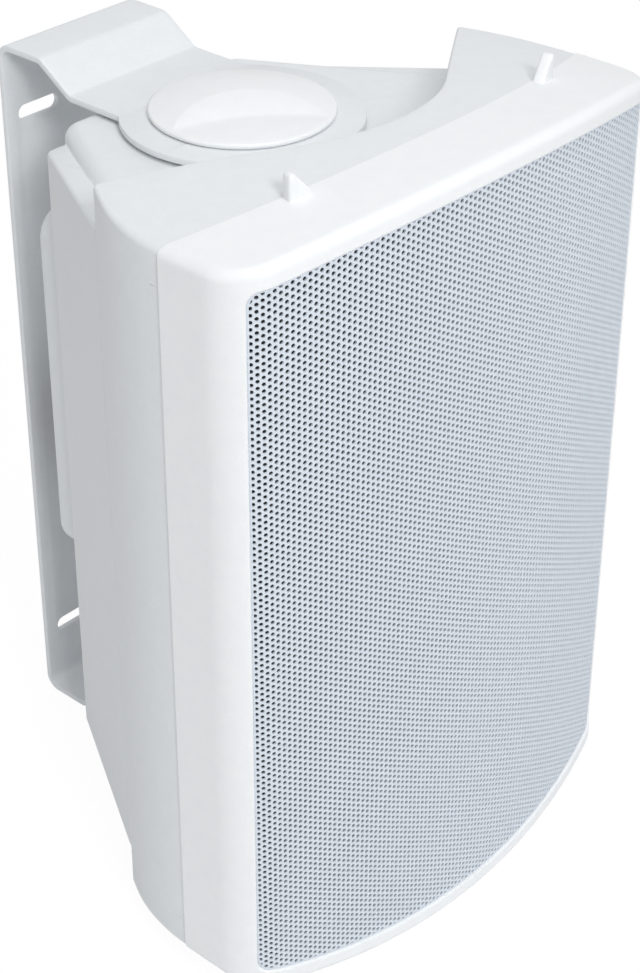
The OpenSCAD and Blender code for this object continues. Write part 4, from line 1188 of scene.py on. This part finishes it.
@dataclass
class ClampKnob:
    """Low domed clamp knob with one finger scoop."""

    name: str
    body: str
    node: str
    up: int
    foot: float = 141.7
    radius: float = 34.4
    rim: float = 2.4
    height: float = 7.2
    rim_edge: float = 1.0
    roll_from: float = -50.0
    roll_to: float = 74.0
    scoop_r: float = 65.0
    scoop_lead: float = 10.7
    scoop_turn: float = 234.6
    scoop_tilt: float = 1.4
    scoop_sink: float = 0.1
    scoop_lean: float = 2.66
    valley_r: float = 9.0

    def revolved(self, profile: np.ndarray, name: str, turns: int) -> MeshPad:
        """Pad with a profile of radius and height turned round Z."""
        pad = MeshPad(name, 0.0)
        a = np.linspace(0, math.tau, turns, endpoint=False)
        rows = [np.c_[r * np.cos(a), r * np.sin(a), np.full(turns, z)] for r, z in profile]
        pad.grid(np.array(rows), wrap_columns=True)
        return pad

    def dome(self) -> bpy.types.Object:
        """Build the knob before its scoop is cut."""
        r0 = self.radius - self.rim_edge
        big = arc_radius(r0, self.height - self.rim)
        rs = np.linspace(r0, 0.0, 26)
        cap = np.c_[rs, self.height - big + np.sqrt(big * big - rs * rs)]
        b = np.radians(np.linspace(self.roll_from, self.roll_to, 9))
        roll = np.c_[r0 + self.rim_edge * np.cos(b), self.rim - self.rim_edge + self.rim_edge * np.sin(b)]
        foot = [(0.0, 0.0), (self.radius - 1.2, 0.0)]
        profile = np.r_[foot, roll, cap]
        return self.revolved(profile, self.name, 144).build(FRAME_ABS, sharp=30)

    def cutter(self) -> bpy.types.Object:
        """Build the tilted, round-bottomed tool that cuts the scoop."""
        blend = math.atan(1 / self.scoop_lean)
        r = self.scoop_r - self.valley_r * math.tan(blend / 2)
        b = np.linspace(0, blend, 7)
        fillet = np.c_[r + self.valley_r * np.sin(b), self.valley_r * (1 - np.cos(b))]
        profile = np.r_[[(0.0, 0.0)], fillet, [(self.scoop_r + 7 * self.scoop_lean, 7.0), (0.0, 7.0)]]
        made = self.revolved(profile, "scoop_tool", 720).build(FRAME_ABS, sharp=30)
        turn = Matrix.Rotation(math.radians(self.scoop_turn), 4, "Z")
        move = Matrix.Translation((self.scoop_lead * MM, 0, (self.rim - self.scoop_sink) * MM))
        tilt = Matrix.Rotation(math.radians(-self.scoop_tilt), 4, "Y")
        made.data.transform(turn @ move @ tilt @ Matrix.Translation((self.scoop_r * MM, 0, 0)))
        return made

    def build(self) -> None:
        """Cut the scoop, set the knob on its arm and place it."""
        knob, tool = self.dome(), self.cutter()
        cut = knob.modifiers.new("scoop", "BOOLEAN")
        cut.operation, cut.object, cut.solver = "DIFFERENCE", tool, "EXACT"
        mesh = evaluated(knob)
        for old in (knob, tool):
            bpy.data.objects.remove(old)
        flip = Matrix.Diagonal((1, 1, self.up, 1))
        mesh.transform(flip @ Matrix.Translation((0, 0, self.foot * MM)))
        mesh.transform(Matrix.Translation((0, AXIS_Y * MM, 0)))
        made = finish_mesh(self.name, mesh, FRAME_ABS, sharp=26, merge=0.005)
        place(made, self.body, [self.node])


@dataclass
class Damping:
    """Pad of loose polyester wadding inside the cabinet."""

    swell: float = 2.5
    rounding: float = 0.16
    waves: int = 6
    seed: int = 7

    def build(self) -> None:
        """Puff the pad's box into a soft form and place it."""
        lo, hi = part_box("damping_pad")
        work = bmesh.new()
        bmesh.ops.create_cube(work, size=1.0)
        bmesh.ops.subdivide_edges(work, edges=work.edges[:], cuts=15, use_grid_fill=True)
        rng = np.random.default_rng(self.seed)
        waves = rng.uniform(60, 160, (self.waves, 3))
        phase = rng.uniform(0, math.tau, self.waves)
        for vert in work.verts:
            q = vert.co * 2
            far = [c**4 for c in q]
            soft = Vector(c * (1 - self.rounding * (far[k - 2] + far[k - 1]) / 2) for k, c in enumerate(q))
            p = Vector((lo[k] + hi[k]) / 2 + soft[k] * (hi[k] - lo[k]) / 2 for k in range(3))
            lump = sum(math.sin(float(Vector(w) @ p) + f) for w, f in zip(waves, phase)) / self.waves
            vert.co = p - (p - (lo + hi) / 2).normalized() * self.swell * MM * (0.5 + 0.5 * lump)
        made = finish_work("damping_wadding", work, WADDING, sharp=80)
        place(made, "cabinet", ["damping_pad"])


@dataclass
class Studio:
    """Pale floor, soft lights and the camera of the photograph."""

    floor_z: float = -0.1635
    floor_glow: float = 1.03
    floor_share: float = 0.92
    fill_light: float = 0.46
    lens: float = 83.22
    shift: tuple[float, float] = (0.0102, 0.0160)
    eye: tuple[float, float, float] = (-0.54283, -0.62635, 0.47022)
    right: tuple[float, float, float] = (0.6753, -0.7376, 0.0)
    up: tuple[float, float, float] = (0.4047, 0.3705, 0.836)
    aim: tuple[float, float, float] = (0.0, -0.1, 0.0)
    lamps: tuple[tuple[str, tuple[float, float, float], float, float], ...] = (
        ("front_left_key", (-1.0, -1.95, 1.5), 23.0, 0.6),
        ("above", (-0.3, -0.7, 2.0), 12.5, 1.2),
        ("front_right", (1.6, -1.6, 0.9), 2.0, 1.2),
    )

    def camera(self) -> None:
        """Set the camera where the photograph was taken."""
        data = bpy.data.cameras.new("camera")
        data.lens, data.sensor_width = self.lens, 36.0
        data.shift_x, data.shift_y = self.shift
        data.clip_start, data.clip_end = 0.01, 100.0
        made = new_object("camera", data)
        right, up = Vector(self.right), Vector(self.up)
        turn = Matrix((right, up, right.cross(up))).transposed().to_4x4()
        made.matrix_world = Matrix.Translation(self.eye) @ turn
        bpy.context.scene.camera = made

    def floor(self) -> None:
        """Lay a pale floor that stays white to the camera and keeps the shadow."""
        mesh = bpy.data.meshes.new("floor")
        s, z = 6.0, self.floor_z
        mesh.from_pydata([(-s, -s, z), (s, -s, z), (s, s, z), (-s, s, z)], [], [(0, 1, 2, 3)])
        made = new_object("floor", mesh)
        coat = bpy.data.materials.new("floor_white")
        tree = fresh_tree(coat)
        base = add(tree, "ShaderNodeBsdfDiffuse", {"Color": linear("#F4F4F4")})
        glow = add(tree, "ShaderNodeEmission", {"Color": linear("#FFFFFF"), "Strength": self.floor_glow})
        seen = add(tree, "ShaderNodeLightPath").outputs["Is Camera Ray"]
        share = calc(tree, "MULTIPLY", seen, self.floor_share)
        mixed = add(tree, "ShaderNodeMixShader", {0: share, 1: base.outputs[0], 2: glow.outputs[0]})
        add(tree, "ShaderNodeOutputMaterial", {"Surface": mixed.outputs[0]})
        mesh.materials.append(coat)

    def world(self) -> None:
        """Light the room evenly, white to camera, gloss and glass."""
        bpy.context.scene.world = bpy.data.worlds.new("studio")
        tree = fresh_tree(bpy.context.scene.world)
        path = add(tree, "ShaderNodeLightPath").outputs
        seen = calc(tree, "MAXIMUM", path["Is Camera Ray"], path["Is Glossy Ray"])
        seen = calc(tree, "MAXIMUM", seen, path["Is Transmission Ray"])
        level = add(tree, "ShaderNodeMapRange", {"Value": seen, "To Min": self.fill_light, "To Max": 1.0})
        air = add(tree, "ShaderNodeBackground", {"Color": linear("#FDFEFF"), "Strength": level.outputs[0]})
        add(tree, "ShaderNodeOutputWorld", {"Surface": air.outputs[0]})

    def lamp(self, name: str, spot: tuple[float, float, float], power: float, size: float) -> None:
        """Hang one soft square lamp that faces the loudspeaker."""
        data = bpy.data.lights.new(name, "AREA")
        data.energy, data.size = power, size
        made = new_object(name, data)
        made.location = spot
        made.rotation_euler = (Vector(self.aim) - Vector(spot)).to_track_quat("-Z", "Y").to_euler()

    def build(self) -> None:
        """Set up the whole studio."""
        self.floor()
        self.world()
        for name, spot, power, size in self.lamps:
            self.lamp(name, spot, power, size)
        self.camera()
        bpy.context.scene.view_settings.view_transform = "Standard"


def dress_nodes(nodes: dict[str, bpy.types.Object]) -> None:
    """Give every CAD node that stays its finish."""
    for finish, names in NODE_FINISHES.items():
        for name in names:
            data = nodes[name].data
            data.materials.clear()
            data.materials.append(finish.material())
        LOG.info("%s: %s", finish.name, ", ".join(names))


def main() -> None:
    """Build the loudspeaker round its frame."""
    logging.basicConfig(level=logging.INFO, format="%(name)s: %(message)s")
    for old in list(bpy.data.objects):
        bpy.data.objects.remove(old)
    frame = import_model()
    Studio().build()
    lines = BodyLines()
    Cabinet(lines).build()
    face = FrontFace(lines)
    FrontFrame(lines, face).build()
    Grille(face).build()
    WallBracket().build()
    ClampKnob("upper_knob_moulding", "upper_clamp", "upper_knob", 1).build()
    ClampKnob("lower_knob_moulding", "lower_clamp", "lower_knob", -1).build()
    Damping().build()
    dress_nodes(frame["nodes"])


if __name__ == "__main__":
    main()
